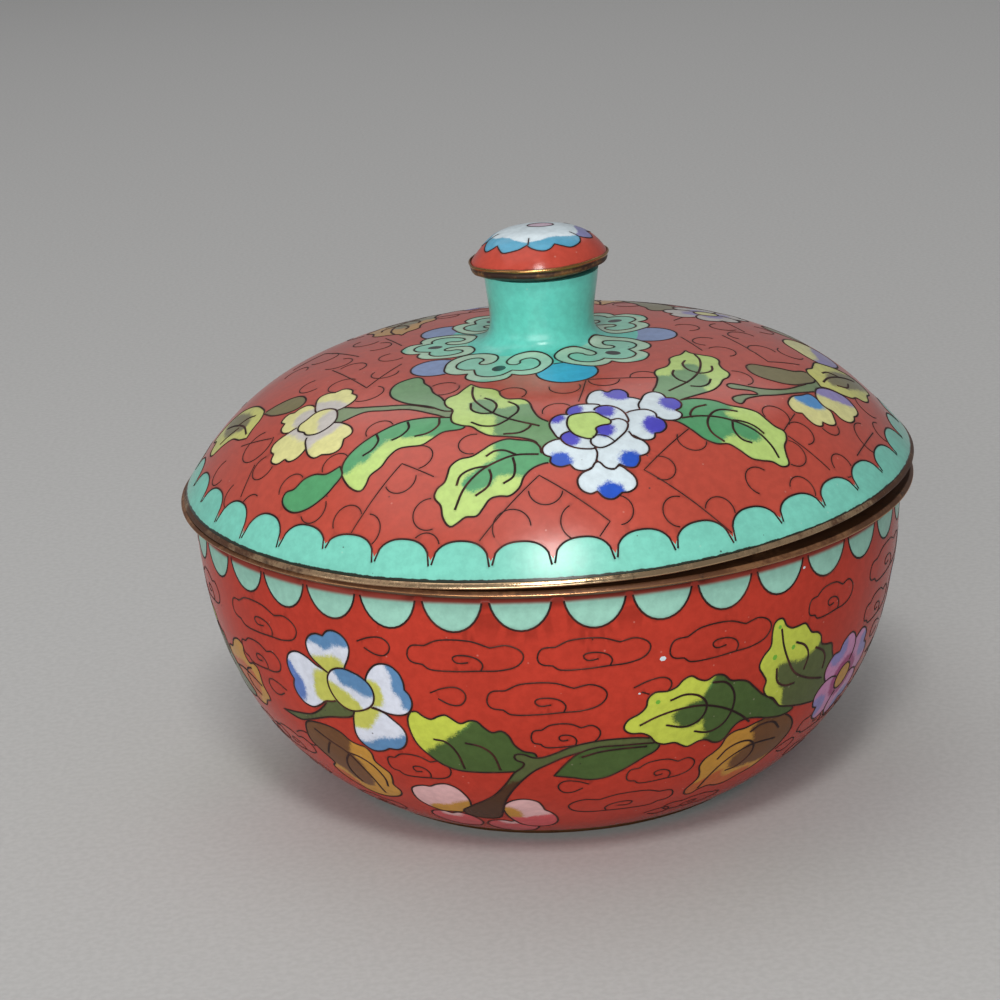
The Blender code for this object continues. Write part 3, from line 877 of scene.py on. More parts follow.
def bowlFlower():
    white, blue, yellow = "bowlWhite", "bowlBlue", "bowlYellow"
    cell(bowl, [
        (-38.4, -15.4), (-40.4, -14.3), (-42, -12.9), (-42.4, -11), (-41.5, -9.6), (-40, -8.9),
        (-38.6, -9, 0), (-37.5, -8), (-36, -7.8), (-34.5, -8.5), (-33.7, -9.9), (-34, -11.6), (-35, -13.4),
        (-36, -15),
    ], white, (blue, [
        (-43.4, -10.2), (-41, -10.6), (-38.4, -11.3), (-36.5, -10.3), (-33, -9.8), (-33, -6.6), (-43, -6.6),
    ]), (yellow, [(-42.4, -13.4), (-40, -12.8), (-37.5, -12.1), (-35.6, -12.9), (-35, -16), (-41, -16)]))
    cell(bowl, [
        (-38.8, -15.6), (-41.2, -14.4), (-43, -13.4), (-45, -13), (-47, -13.8), (-48, -15.5),
        (-47.9, -17.2), (-47.3, -18.4, 0), (-47.9, -19.8), (-47.6, -21.3), (-46.4, -22.6), (-44.5, -22.9),
        (-42.5, -22), (-41, -21), (-38.4, -20),
    ], white, ("slateBlue", [
        (-47.4, -14.8), (-46.4, -16.4), (-44.9, -18.7), (-45.2, -20.6), (-46, -22), (-50, -22),
        (-50, -14.8),
    ]), (yellow, [(-41.6, -15.6), (-42.5, -18), (-42.4, -20.8), (-37, -21), (-37, -15)]))
    cell(bowl, [
        (-31.6, -15.4), (-30.6, -13.5), (-29, -12.2), (-27, -12.1), (-25.5, -13.2), (-24.9, -14.8),
        (-24.9, -16.1, 0), (-24.2, -17), (-24, -18.6), (-24.9, -20.2), (-26.5, -20.9), (-28.5, -20.9),
        (-30.2, -20.4), (-32, -19.6),
    ], white, (blue, [
        (-27.6, -11.4), (-27, -14), (-27, -16.6), (-25.8, -17.6), (-25.6, -19.6), (-23, -19.6),
        (-23, -11.4),
    ]), (yellow, [(-31.4, -15.2), (-29.4, -15.8), (-29, -18.5), (-30, -20), (-33, -19)]))
    cell(bowl, [
        (-31.6, -20.3), (-29.3, -20.9), (-28, -22), (-26.8, -23.2), (-26.3, -24.8), (-27, -26.8),
        (-28.5, -28), (-30.5, -28.2, 0), (-32, -29), (-34, -29.3), (-35.8, -28.2), (-36.5, -26.5),
        (-36.2, -24.4), (-35.2, -21.6), (-33.4, -20.4),
    ], white, (blue, [
        (-37, -27.9), (-34, -27.4), (-32, -26.3), (-29, -25.8), (-25.6, -25), (-25.6, -28), (-30, -31),
        (-36, -31),
    ]), (yellow, [(-36.4, -24.2), (-34, -24.9), (-32.5, -24), (-31.3, -22.5), (-30.2, -20), (-36, -19.5)]))
    cell(bowl, [
        (-35.6, -14), (-33.6, -14.4), (-32.2, -15), (-30.9, -16.3), (-30.6, -18), (-31.3, -19.7),
        (-33, -20.9), (-35.5, -21.6), (-37.3, -21.1), (-38.6, -19.8), (-39.3, -17.8), (-39, -15.9),
        (-37.6, -14.5),
    ], white, (blue, [
        (-37.2, -13), (-36.8, -16.5), (-34.5, -17.3), (-32, -18.4), (-29.6, -17.4), (-31, -13),
    ]), (yellow, [
        (-40, -17), (-37.3, -17.4), (-35, -18.8), (-33.7, -20.2), (-33.6, -22.6), (-38.6, -22.6),
    ]))


def bowlLeaves():
    # the stem that carries the flower at the left
    cell(bowl, [
        (-37, -20.6), (-39.8, -20.2), (-41.5, -21.8), (-43.5, -23.4), (-46, -24.7), (-50, -25.5),
        (-54.4, -26.2, 0), (-50, -26.9), (-47, -26.1), (-44, -25), (-41, -24), (-38, -23.4), (-36, -22.7),
        (-35.2, -21.4),
    ], "stemGreen")
    leaf(bowl, [
        (-48.2, -26.9), (-45, -26.2), (-42, -26.3), (-40, -27), (-38.6, -28.3), (-37, -28.8), (-35.7, -29),
        (-34.9, -30.2), (-35, -32), (-34, -33.3), (-33, -34.6), (-33.4, -36.5), (-34, -38), (-33.4, -39.7),
        (-34.5, -41.5), (-37, -42.8), (-40, -43.6), (-43, -43.5), (-46, -42), (-48.4, -39.6),
        (-48.8, -37.4), (-47.4, -36), (-49, -33.6), (-50.4, -31.5), (-49.6, -28.6),
    ], "ochre", ("umber", [
        (-50, -25), (-41, -25), (-38.8, -28.6), (-40, -31), (-38.6, -34), (-38.6, -38), (-40.6, -40.4),
        (-43.6, -40), (-46, -36.6), (-52, -35),
    ]), [
        [(-47, -28), (-44, -29.8), (-41, -31.5), (-39.4, -34.2), (-38.4, -37.8), (-38.6, -42)],
        [(-47, -33.5), (-45.6, -31.6), (-44.4, -30.2)],
        [(-43, -40), (-43.5, -36.6), (-42.6, -34), (-40.9, -32)],
        [(-35.9, -39), (-35.1, -36.5), (-36, -33.5), (-38.2, -31.9), (-40.6, -31.5)],
    ], ("orangeClay", [(-49.6, -38), (-46, -38.6), (-44.6, -42), (-46, -45), (-50, -43)]))
    leaf(bowl, [
        (-24.6, -20, 0), (-23.5, -19.8), (-22.6, -20.5), (-21.3, -21), (-20.1, -20.4), (-18.8, -20),
        (-17.8, -20.6), (-16.5, -21.4), (-15, -20.8), (-13.8, -20.9), (-12.8, -22), (-11.6, -22.9),
        (-10.1, -22.6), (-9, -23.6), (-8.3, -25.3), (-7, -26.6), (-5, -27.4), (-5.6, -29.6), (-8, -30.9),
        (-11, -31.3), (-15, -31.5), (-18.5, -31.3), (-21, -30.3), (-23, -28.5), (-24.7, -26.3),
        (-25.4, -23.5), (-25.3, -21.3),
    ], "bowlLime", ("bowlGreen", [
        (-13.5, -20), (-15.5, -22), (-17.5, -23.5), (-19.5, -24.8), (-21, -26), (-23, -27.4), (-25, -29.4),
        (-20, -33), (-4, -33), (-3, -26), (-8, -21),
    ]), [
        [(-21.6, -24.9), (-19.5, -25.3), (-18, -27.5), (-17.4, -30.8)],
        [(-16.3, -25.2), (-13.8, -25.8), (-12, -27.5), (-11.2, -30.8)],
    ], ("bowlLeafGreen", [
        (-13.6, -20.6), (-16.4, -22.6), (-17.4, -24.6), (-13, -26), (-9, -26), (-7, -25), (-8, -21),
    ]))
    cell(bowl, [
        (-8.4, -28.4), (-8.4, -27.4), (-7, -27.3), (-5.5, -28), (-4, -28), (-2, -27.3), (1, -26),
        (5, -25.3), (9, -25.3), (13, -25.8), (15.6, -27.2), (13, -27.4), (8, -26.9), (4, -27), (0, -28),
        (-3, -29.5), (-5.5, -31), (-8, -33.5), (-10.5, -37), (-12, -40), (-13, -43), (-14.6, -46),
        (-19, -46.5), (-21.6, -44.4), (-19, -41.6), (-16, -39.5), (-13.5, -37.5), (-11, -34.5), (-9, -31.5),
        (-7.1, -29.4),
    ], "stemGreen", ("darkStem", [(-6.6, -33.6), (-12, -35), (-24, -41), (-22, -50), (-8, -50)]))
    leaf(bowl, [
        (15.3, -27.5), (13.5, -27), (9, -26.7), (5, -26.6), (2, -27.5), (0, -29.3), (-2.3, -32.3, 0),
        (1, -33), (4, -33.8), (7, -33.4), (10, -31.8), (13, -29.8), (14.8, -28.8),
    ], "bowlGreen", None, [[(2.4, -28.4), (5.4, -27.6), (9, -27.4), (13.2, -27.6)]])
    leaf(bowl, [
        (24, -43), (23.5, -41.4), (24.3, -39.8), (25, -38.3), (24.8, -36.7), (24.2, -34.9), (24.8, -33.2),
        (26.1, -32.2), (27.3, -31), (28, -29.2), (29.5, -28.4), (31.5, -28.4), (34, -27.9), (38, -27.6),
        (42, -29.4), (44.4, -32.6), (43.4, -36), (41, -38.6), (39, -40.4), (36, -41.6), (33.5, -42.8),
        (31, -42.8), (29, -42), (27, -42.4), (25.5, -43.5),
    ], "ochre", ("umber", [
        (33, -29), (34.6, -31.6), (32.4, -33.6), (30.8, -36.2), (32.6, -38.2), (36, -38.4), (40, -38.6),
        (46, -34), (44, -28), (38, -27),
    ]), [
        [(26.5, -42), (27.3, -39), (29, -36), (31.5, -34), (35, -33), (40.5, -33.6)],
        [
            (27.6, -34.2), (29, -32.2), (31.5, -31.4), (34, -32), (35.5, -34), (35.2, -36.2), (33.4, -38),
            (31, -38.3),
        ],
        [(33, -29.7), (35, -28.8), (38, -29.2), (40.2, -31.2)],
    ], ("orangeClay", [
        (22, -40.6), (26, -39.6), (29.6, -37.6), (31.4, -40), (38, -40), (36, -45), (22, -45),
    ]))
    leaf(bowl, [
        (9.2, -23.4), (9.8, -21.9), (11.5, -21), (12.6, -19.9), (12.9, -18.4), (14, -17.5), (16, -17.6),
        (17.5, -17.1), (18.5, -16.1), (19.8, -15.7), (21.2, -16.6), (22.5, -17), (24, -16.4), (25.5, -16.8),
        (26.8, -18), (28.5, -18.4), (30, -19), (31.5, -20.4), (33.5, -22.3), (36, -24), (38, -25.8),
        (42, -27.6), (40, -28.4), (36, -27.7), (34, -27), (32, -26.5), (30, -26.5), (28.7, -27.4),
        (27.8, -29), (26.8, -29.8), (25.4, -29.6), (24, -28.7), (22.5, -28.5), (20.5, -29.2), (19.3, -28.6),
        (18, -27.8), (16, -27.7), (14.6, -27), (13.6, -25.7), (12.2, -24.8), (10.3, -24.5),
    ], "bowlLime", ("bowlGreen", [
        (24.4, -15.8), (23.4, -18), (21.8, -20), (19.4, -20.8), (17.2, -22), (17.6, -23.6), (19.2, -25),
        (21.6, -24.8), (22.6, -24), (22.6, -26), (23.8, -27.4), (22.8, -28.4), (24, -31), (30, -31),
        (44, -30), (44, -20), (28, -14),
    ]), [
        [(11.7, -23.2), (14.5, -22), (18, -21.3), (22, -21.4), (26, -22.8), (29.5, -25), (32, -27.2)],
        [(16.5, -19.4), (19, -18.8), (21.5, -19.6), (22.9, -21.6), (22, -24), (19.5, -24.9), (16.1, -23.9)],
        [(23.5, -17.6), (26, -18.2), (27.7, -20.5), (27.8, -23.5), (26.5, -26), (24, -27), (21.2, -26.2)],
    ], ("bowlLeafGreen", disc(24.6, -19, 1.9, 1.2)))
    leaf(bowl, [
        (34.3, -10.4), (35.1, -9.8), (36.1, -10), (36.8, -11.2), (38, -12), (39.5, -12.1), (41, -12.1),
        (42, -13.2), (42.8, -14.1), (44.3, -14.6), (45.3, -15.5), (45.8, -17), (47.3, -17.6), (48.8, -18),
        (49.4, -19.5), (50.6, -21.5), (53, -23.8), (55.6, -27), (50, -28.6), (45, -28), (41, -27),
        (38.2, -26), (37, -24.8), (36, -23.8), (34.5, -23), (33.6, -21.5), (33.8, -20), (33, -18.7),
        (32, -17), (32.6, -15.4), (33.9, -14), (34, -12),
    ], "bowlLime", ("stemGreen", [
        (36, -18), (38.4, -17.8), (41, -18.4), (44, -17.4), (47, -16.6), (54, -20), (58, -31), (42, -30),
        (38.4, -25.4), (38, -23), (36.4, -21),
    ]), [
        [(35.9, -11.6), (36.6, -14.5), (38, -17.5), (40, -20.3), (43.5, -22.4), (48, -24)],
        [(39.3, -14.8), (41.5, -16), (42.7, -18), (42.2, -20.5)],
        [(35.7, -18.3), (36.3, -20.8), (38.3, -22.2), (40.5, -22.4)],
        [(44.3, -17.2), (46.5, -18.5), (47.5, -20), (47.5, -22)],
    ], ("bowlGreen", disc(46.6, -19, 2.2, 1.4)))
    for x, y, radius in ((35.5, -11.2, 0.35), (35.0, -16.2, 0.5), (38.8, -15.5, 0.45), (14.5, -19.3, 0.42)):
        cell(bowl, disc(x, y, radius), "speckGreen", wire=None)
    for x, y, radius in ((15.1, -11.9, 0.55), (11.5, -17.3, 0.22), (40.2, -2.8, 0.3)):
        cell(bowl, disc(x, y, radius, 0.75), "petalWhite", wire=None)


def lowFlower():
    # the half-open flower low on the front, at the foot of the stem
    for shift, drop in ((-25.0, -50.0), (-12.5, -52.0)):
        cell(bowl, [
            (shift - 6, drop + 1.4), (shift - 4.6, drop + 4), (shift - 1.6, drop + 4.8),
            (shift, drop + 4.2, 0), (shift + 2, drop + 5), (shift + 4.8, drop + 3.6),
            (shift + 5.6, drop + 0.6), (shift + 3, drop - 2.2), (shift - 3, drop - 2.2),
        ], "rose", ("rosePale", disc(shift, drop + 4.6, 2.6, 0.7)))
    cell(bowl, [
        (-30.6, -40.2), (-30, -38), (-28.5, -36.9), (-26.8, -36.4), (-25.5, -36.4), (-24, -35.6),
        (-22, -35.2), (-20.3, -36), (-19.2, -37.8), (-18.8, -40), (-19.5, -42.3), (-21.2, -44.2),
        (-24, -44.8), (-27, -45), (-29.2, -43.6), (-30.4, -42),
    ], "rosePale", ("ochre", [
        (-28, -42.8), (-24, -41.8), (-21, -40.4), (-17, -40), (-18, -46), (-28, -46),
    ]))
    cell(bowl, [
        (-12.6, -41.6), (-11.5, -39.8), (-9.5, -38.7), (-7.5, -38.6), (-5.7, -39.4), (-4.9, -41),
        (-4.6, -42.3, 0), (-3.3, -43.6), (-2.4, -45.5), (-2.4, -48), (-4, -50), (-7, -50.6), (-10, -49.6),
        (-11.6, -47.2), (-12.6, -44.2),
    ], "rosePale", ("rose", [(-14, -46.4), (-9, -45.4), (-1, -45), (-1, -52), (-14, -52)]), ("ochre", [
        (-11, -41.6), (-9.4, -43.4), (-9.6, -46), (-12, -48), (-14, -42),
    ]))


def roseFlower(x, y, size):
    # the flower that closes the spray at the right, seen edge on from the front
    petal = [
        (-0.22, 0.2), (-0.55, 0.5), (-0.52, 0.9), (-0.2, 1.02), (0.0, 0.92, 0), (0.22, 1.04), (0.54, 0.88),
        (0.55, 0.5), (0.22, 0.2),
    ]
    for axis in (35, 125, 215, 305):
        edge, = turned([(0.0, 0.95)], axis, x, y, size)
        cell(
            bowl, turned(petal, axis, x, y, size), "orchid", ("petalViolet", disc(*edge, size * 0.34)),
            ("magenta", disc(x, y, size * 0.5)))
    cell(bowl, disc(x, y, size * 0.3), "ochre")


def sideLeaf():
    leaf(bowl, [
        (-58.4, -20), (-59.6, -19.2), (-61.4, -19.6), (-62.4, -18.2), (-62, -16.6), (-63.6, -16),
        (-66, -16.8), (-68, -18.6), (-70.6, -19.4), (-71, -22), (-69.4, -25), (-66.4, -27.6),
        (-62.6, -28.2), (-60.4, -26.6), (-58.4, -25.6), (-58.8, -23),
    ], "ochre", ("orangeClay", [
        (-60.4, -22.6), (-63, -20.4), (-67, -20.6), (-72, -22), (-68, -29), (-62, -26),
    ]), [
        [(-59.6, -23.4), (-62.6, -22.4), (-66, -22), (-69.6, -22.6)],
        [(-61.4, -20.6), (-63.6, -21.4), (-64.4, -22.4)],
        [(-62, -26), (-64.2, -25), (-65, -22.8)],
    ])


# the pattern goes round three times, each time in other glazes
third = 2 * math.pi / 3
swaps = (
    {},
    {"bowlBlue": "rose", "slateBlue": "rose", "rosePale": "petalLavender", "bowlYellow": "ochre"},
    {"bowlBlue": "petalViolet", "ochre": "bowlLime", "umber": "bowlGreen", "orangeClay": "bowlYellow"},
)
for i in range(3):
    bowl["turn"] = i * third
    bowlGround()
bowl["turn"] = 0.0
lappetRow()
for i in range(3):
    bowl.update(turn=i * third, swap=swaps[i])
    if i != 1:
        sideLeaf()
    lowFlower()
    bowlLeaves()
    bowlFlower()
    if i != 2:
        roseFlower(56.4, -26.6, 8.0)
print("bowl drawn:", len(bowl["cells"]), "cells,", len(bowl["lines"]), "wires")

knob = newSheet(knobForm)


def knobFlower():
    # five petals with two-lobed blue tips that run together round the middle
    tip = [
        (-4.76, 6.3, 0), (-4.6, 7.2), (-3.9, 8.3), (-2.8, 9.0), (-1.6, 8.9), (-0.6, 8.2, 0), (0.5, 8.9),
        (1.7, 9.4), (3.0, 9.0), (4.2, 8.0), (4.76, 6.3, 0),
    ]
    petal = tip + [(2.9, 4.0), (0.0, 0.1), (-2.9, 4.0)]
    seam = [(-3.6, 4.95)] + tip + [(3.6, 4.95)]
    band = [
        (-6.4, 5.2), (-4.0, 6.0), (-2.0, 6.4), (0.0, 6.2), (2.0, 6.5), (4.0, 6.2), (6.4, 5.2), (6.4, 11.5),
        (-6.4, 11.5),
    ]
    for i, blue in enumerate(("knobBlue", "knobViolet", "knobViolet", "knobBlue", "knobBlue")):
        axis = -67 + 72 * i
        cell(knob, turned(petal, axis), "petalWhite", (blue, turned(band, axis)), wire=None)
        wireOn(knob, turned(seam, axis), wires["fine"])
    cell(knob, disc(0.7, 1.1, 2.1, 0.75), "knobCentre", wire=wires["fine"])


knobFlower()


# from the drawing to the enamel
firing = {
    "clear": 0.05,  # wires end this far from the rim and the core
    "shortest": 0.01,  # corners of an outline closer than this are one
    "rowStep": 0.87,  # rows of the grid, by its step
    "rimRoom": 0.6,  # how far the grid keeps from the rim and the core, by its step
    "coreRoom": 0.4,
    "beside": 0.55,  # corners on both sides of a wire, so that the enamel is even there
    "margin": 0.3,
    "wireReach": 3.0,  # distances are kept up to these
    "rimReach": 9.0,
    "patchReach": 6.0,
    "noPatch": -9.0,  # stands for far outside any patch
    "onRing": 0.02,  # corners this near to the rim's or the core's reach belong to their ring
    "merge": 1e-4,  # corners closer than this are merged
    "least": 1e-7,  # smaller faces are left out
}


def visibleRuns(sheet, core):
    # the parts of each wire that no later cell covers
    rim = sheet["form"]["reach"][-1]
    runs = []
    for entry in sheet["lines"]:
        line = entry["line"]
        hidden = np.zeros(len(line), bool)
        for other in sheet["cells"][entry["level"]:]:
            markInside(line, other["line"], hidden)
        reach = reachOf(line)
        shown = ~hidden & (reach < rim - firing["clear"]) & (reach > core + firing["clear"])
        start = None
        for i, good in enumerate([*shown, False]):
            if good and start is None:
                start = i
            if not good and start is not None:
                if i - start > 2:
                    runs.append((line[start:i], entry["width"]))
                start = None
    return runs


def addFace(build, corners, normals, base, tip=None, root=None, spread=None):
    count = len(corners)
    build["faces"].append(corners)
    build["normals"].extend(normals)
    build["glazeBase"].extend([base] * count)
    build["glazeTip"].extend([tip or base] * count)
    build["glazeRoot"].extend([root or base] * count)
    plain = (firing["noPatch"], firing["noPatch"], firing["wireReach"])
    build["spread"].extend([plain] * count if spread is None else spread)


def ringsOn(build, form, ring, turns, section, normals, glaze, flip=False):
    # bands of faces from a ring of corners through each radius and height of the section
    colour = linear(glaze)
    before = list(ring)
    count = len(ring)
    arrows = [pointing(form, out, up, turns) for out, up in normals]
    for k, (radius, height) in enumerate(section):
        first = len(build["points"])
        closing = radius == 0.0
        build["points"].extend(placed(form, radius, height, turns[:1] if closing else turns))
        after = [first] if closing else list(range(first, first + count))
        for i in range(count):
            j = (i + 1) % count
            face = [before[i], before[j]] + ([after[0]] if closing else [after[j], after[i]])
            arrow = [arrows[k][i], arrows[k][j], arrows[k + 1][j], arrows[k + 1][i]]
            if closing:
                arrow.pop(2)
            addFace(build, face[::-1] if flip else face, arrow[::-1] if flip else arrow, colour)
        before = after
    return before


def lining(build, form, ring, turns, wall, up):
    # the lip and the inner face of a shell; up is -1 where the inside looks down
    flip = up < 0
    level = [(0.0, up)] * 2
    along = np.gradient(wall, axis=0)
    along /= reachOf(along)[:, None]
    inward = [(-abs(rise), up * abs(run)) for run, rise in along]
    wall = [tuple(p) for p in wall]
    lip = ringsOn(build, form, ring, turns, wall[:1], level, "innerTurquoise", flip)
    last = ringsOn(build, form, lip, turns, wall[1:], inward, "innerTurquoise", flip)
    ringsOn(build, form, last, turns, [(0.0, wall[-1][1])], level, "innerTurquoise", flip)


def sheetLoops(sheet, settings):
    # the outlines of the rim, of the core and of every cell
    rim, core = sheet["form"]["reach"][-1], settings["core"]
    edge = settings["edgeStart"] + np.linspace(0, 2 * math.pi, settings["edgeCount"] + 1)[:-1]
    outlines = [ringAt(rim, edge)]
    if core:
        outlines.append(ringAt(core, edge[::settings["coreEvery"]]))
    for entry in sheet["cells"]:
        line = entry["line"]
        line = line * np.minimum(1.0, rim / np.maximum(reachOf(line), 1e-6))[:, None]
        outlines.append(line[reachOf(line - np.roll(line, 1, axis=0)) > firing["shortest"]])
    points, loops, first = [], [], 0
    for line in outlines:
        # each runs anticlockwise, so that its inside is on its left
        after = np.roll(line, -1, axis=0)
        if (line[:, 0] * after[:, 1] - line[:, 1] * after[:, 0]).sum() < 0:
            line = line[::-1]
        points.append(line)
        loops.append(list(range(first, first + len(line))))
        first += len(line)
    return points, loops


def gridSpots(sheet, settings):
    # a coarse grid of corners everywhere, and a fine one where glazes meet in a cell
    rim, core = sheet["form"]["reach"][-1], settings["core"]
    grids = []
    for step in (settings["coarse"], settings["fine"]):
        side = int(rim / step) + 2
        i, j = np.meshgrid(np.arange(-side, side + 1), np.arange(-side, side + 1))
        spots = np.stack([(i + 0.5 * (j % 2)) * step, j * step * firing["rowStep"]], -1).reshape(-1, 2)
        reach = reachOf(spots)
        near = (reach < rim - step * firing["rimRoom"]) & (reach > core + step * firing["coreRoom"])
        spots, reach = spots[near], reach[near]
        if grids:
            wanted = reach < settings["fineWithin"]
            for entry in sheet["cells"]:
                if entry["tip"] or entry["root"]:
                    markInside(spots, entry["line"], wanted)
            spots = spots[wanted]
        grids.append(spots)
    return grids


def besideWires(runs, rim, core):
    rows = []
    for run, width in runs:
        along = np.gradient(run, axis=0)
        aside = np.stack([-along[:, 1], along[:, 0]], 1) / np.maximum(reachOf(along), 1e-6)[:, None]
        for side in (firing["beside"], -firing["beside"]):
            row = run[1::3] + side * aside[1::3]
            reach = reachOf(row)
            rows.append(row[(reach < rim - firing["margin"]) & (reach > core + firing["margin"])])
    return rows


def gapToWires(points, runs):
    spots = np.vstack([run for run, width in runs])
    tree = KDTree(len(spots))
    for i, spot in enumerate(spots):
        tree.insert((*spot, 0), i)
    tree.balance()
    return np.array([min(tree.find((*p, 0))[2], firing["wireReach"]) for p in points])


def fireCell(build, entry, group, flat, arrows, wireGap, outward):
    # the faces of one cell; each corner keeps how deep it lies in the tip's and the root's patch
    corners = group.reshape(-1)
    spread = np.full((len(corners), 3), firing["noPatch"])
    spread[:, 2] = wireGap[corners]
    base = linear(entry["glaze"])
    tints = [base, base]
    most = firing["patchReach"]
    for k, patch in enumerate((entry["tip"], entry["root"])):
        if patch:
            tints[k] = linear(patch[0])
            used, back = np.unique(corners, return_inverse=True)
            spread[:, k] = np.clip(depthIn(flat[used], patch[1]), -most, most)[back]
    for face, values in zip(group, spread.reshape(-1, 3, 3)):
        a, b, c = flat[face]
        area = np.cross(b - a, c - a)
        if abs(area) < firing["least"]:
            continue
        if (area > 0) != (outward > 0):
            face, values = face[::-1], values[::-1]
        addFace(build, face, arrows[face], base, *tints, values)


def fireSheet(sheet, settings):
    # cuts the flat drawing into triangles along every outline, then lays it over the turned form
    form = sheet["form"]
    rim, core = form["reach"][-1], settings["core"]
    runs = visibleRuns(sheet, core)
    points, loops = sheetLoops(sheet, settings)
    points += gridSpots(sheet, settings) + [run[::2] for run, width in runs]
    points += besideWires(runs, rim, core)
    points = [Vector(p) for p in np.vstack(points)]
    flat, _, triangles, *_, owners = delaunay_2d_cdt(points, [], loops, 0, firing["merge"])
    flat = np.array([tuple(p) for p in flat])
    reach, turn = reachOf(flat), np.arctan2(flat[:, 1], flat[:, 0])
    spots, arrows = onForm(form, reach, turn)
    if form["reach"][0] == 0.0:
        arrows[reach < 1e-6] = pointing(form, 0.0, 1.0, np.zeros(1))[0]

    build = {key: [] for key in ("faces", "normals", "glazeBase", "glazeTip", "glazeRoot", "spread")}
    build["points"] = list(spots)
    # painted shade: on the listed sides the enamel counts as nearer the rim, so the painted shade and the
    # dark edge line reach further there
    paintedRimShade = sum(extra * eased(np.cos(turn - side)) for side, extra in settings["shadeWideningSides"])
    build["rimGap"] = np.clip(rim - reach, 0.0, firing["rimReach"]) - paintedRimShade
    ground = {"glaze": settings["ground"], "tip": None, "root": None}
    firstCell = 2 if core else 1
    byCell = {}
    for triangle, owner in zip(triangles, owners):
        if not (core and 1 in owner):
            top = max(owner) - firstCell if owner else -1
            byCell.setdefault(max(top, -1), []).append(triangle)
    wireGap = gapToWires(flat, runs)
    for top, group in byCell.items():
        entry = sheet["cells"][top] if top >= 0 else ground
        fireCell(build, entry, np.array(group), flat, arrows, wireGap, form["outward"])

    # the rings of corners left at the rim and round the core
    rings = []
    for at in (rim, core):
        ring = np.flatnonzero(np.abs(reach - at) < firing["onRing"])
        ring = ring[np.argsort(turn[ring])]
        rings.append((ring, turn[ring]))
    return build, runs, *rings


def newMesh(name, points, faces):
    mesh = bpy.data.meshes.new(name)
    mesh.from_pydata((np.array(points) * mm).tolist(), [], faces)
    mesh.shade_smooth()
    return mesh


def addLayer(mesh, name, kind, domain, field, values):
    layer = mesh.attributes.new(name, kind, domain)
    layer.data.foreach_set(field, np.array(values, np.float32).ravel())


def addPiece(name, mesh, material, slot, *nodes):
    mesh.materials.append(material)
    piece = bpy.data.objects.new(name, mesh)
    bpy.context.scene.collection.objects.link(piece)
    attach(piece, "root")
    if nodes:
        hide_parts(*nodes)
    print(name, len(mesh.polygons), "faces")


def layEnamel(name, build, material, slot, *nodes):
    mesh = newMesh(name, build["points"], [[int(v) for v in face] for face in build["faces"]])
    for title in ("glazeBase", "glazeTip", "glazeRoot"):
        addLayer(mesh, title, "FLOAT_COLOR", "CORNER", "color", build[title])
    addLayer(mesh, "spread", "FLOAT_VECTOR", "CORNER", "vector", build["spread"])
    gaps = np.full(len(build["points"]), firing["rimReach"])
    gaps[:len(build["rimGap"])] = build["rimGap"]
    addLayer(mesh, "rimGap", "FLOAT", "POINT", "value", gaps)
    mesh.normals_split_custom_set(np.array(build["normals"], float).tolist())
    addPiece(name, mesh, material, slot, *nodes)


wireShape = {"height": 0.045, "sunk": 0.06, "shoulder": 0.3}


def layWires(name, sheet, runs, material, slot):
    # each wire is a closed strip with a rounded back, standing just proud of the enamel
    back = (
        (-0.5, -wireShape["sunk"]), (-wireShape["shoulder"], wireShape["height"]),
        (wireShape["shoulder"], wireShape["height"]), (0.5, -wireShape["sunk"]),
    )
    points, faces = [], []
    for line, width in runs:
        spots, arrows = onForm(sheet["form"], reachOf(line), np.arctan2(line[:, 1], line[:, 0]))
        side = np.cross(arrows, np.gradient(spots, axis=0))
        side /= np.maximum(np.linalg.norm(side, axis=1), 1e-9)[:, None]
        first, count = len(points), len(line)
        for across, lift in back:
            points.extend(spots + side * (across * width) + arrows * lift)
        rows = [range(first + k * count, first + (k + 1) * count) for k in range(4)]
        for near, far in zip(rows, rows[1:] + rows[:1]):
            for i in range(count - 1):
                faces.append((near[i + 1], near[i], far[i], far[i + 1]))
        faces.append(tuple(row[0] for row in rows[::-1]))
        faces.append(tuple(row[-1] for row in rows))
    addPiece(name, newMesh(name, points, faces), material, slot)


# materials: small helpers first, then the effects that finishes share
def feed(tree, socket, value):
    # a number or a colour is set on the socket, anything else is linked to it
    if isinstance(value, (int, float, tuple)):
        socket.default_value = value
    else:
        tree.links.new(value, socket)


def newGroup(name, inputs, outputs):
    group = bpy.data.node_groups.new(name, "ShaderNodeTree")
    for title, value in inputs.items():
        socket = group.interface.new_socket(title, in_out="INPUT", socket_type="NodeSocketFloat")
        socket.default_value = value
    for title in outputs:
        group.interface.new_socket(title, in_out="OUTPUT", socket_type="NodeSocketFloat")
    place = group.nodes.new("ShaderNodeTexCoord").outputs["Object"]
    given = group.nodes.new("NodeGroupInput").outputs
    return group, place, given, group.nodes.new("NodeGroupOutput").inputs


def maths(tree, operation, *values, clamp=False):
    node = tree.nodes.new("ShaderNodeMath")
    node.operation = operation
    node.use_clamp = clamp
    for socket, value in zip(node.inputs, values):
        feed(tree, socket, value)
    return node.outputs[0]


def times(tree, first, second):
    return maths(tree, "MULTIPLY", first, second)


def ramped(tree, value, low, high, toLow=0.0, toHigh=1.0):
    node = tree.nodes.new("ShaderNodeMapRange")
    node.interpolation_type = "SMOOTHSTEP"
    ends = {"Value": value, "From Min": low, "From Max": high, "To Min": toLow, "To Max": toHigh}
    for title, end in ends.items():
        feed(tree, node.inputs[title], end)
    return node.outputs["Result"]


def noise(tree, place, scale, detail, roughness=0.5):
    node = tree.nodes.new("ShaderNodeTexNoise")
    given = {"Vector": place, "Scale": scale, "Detail": detail, "Roughness": roughness}
    for title, value in given.items():
        feed(tree, node.inputs[title], value)
    return node.outputs["Fac"]


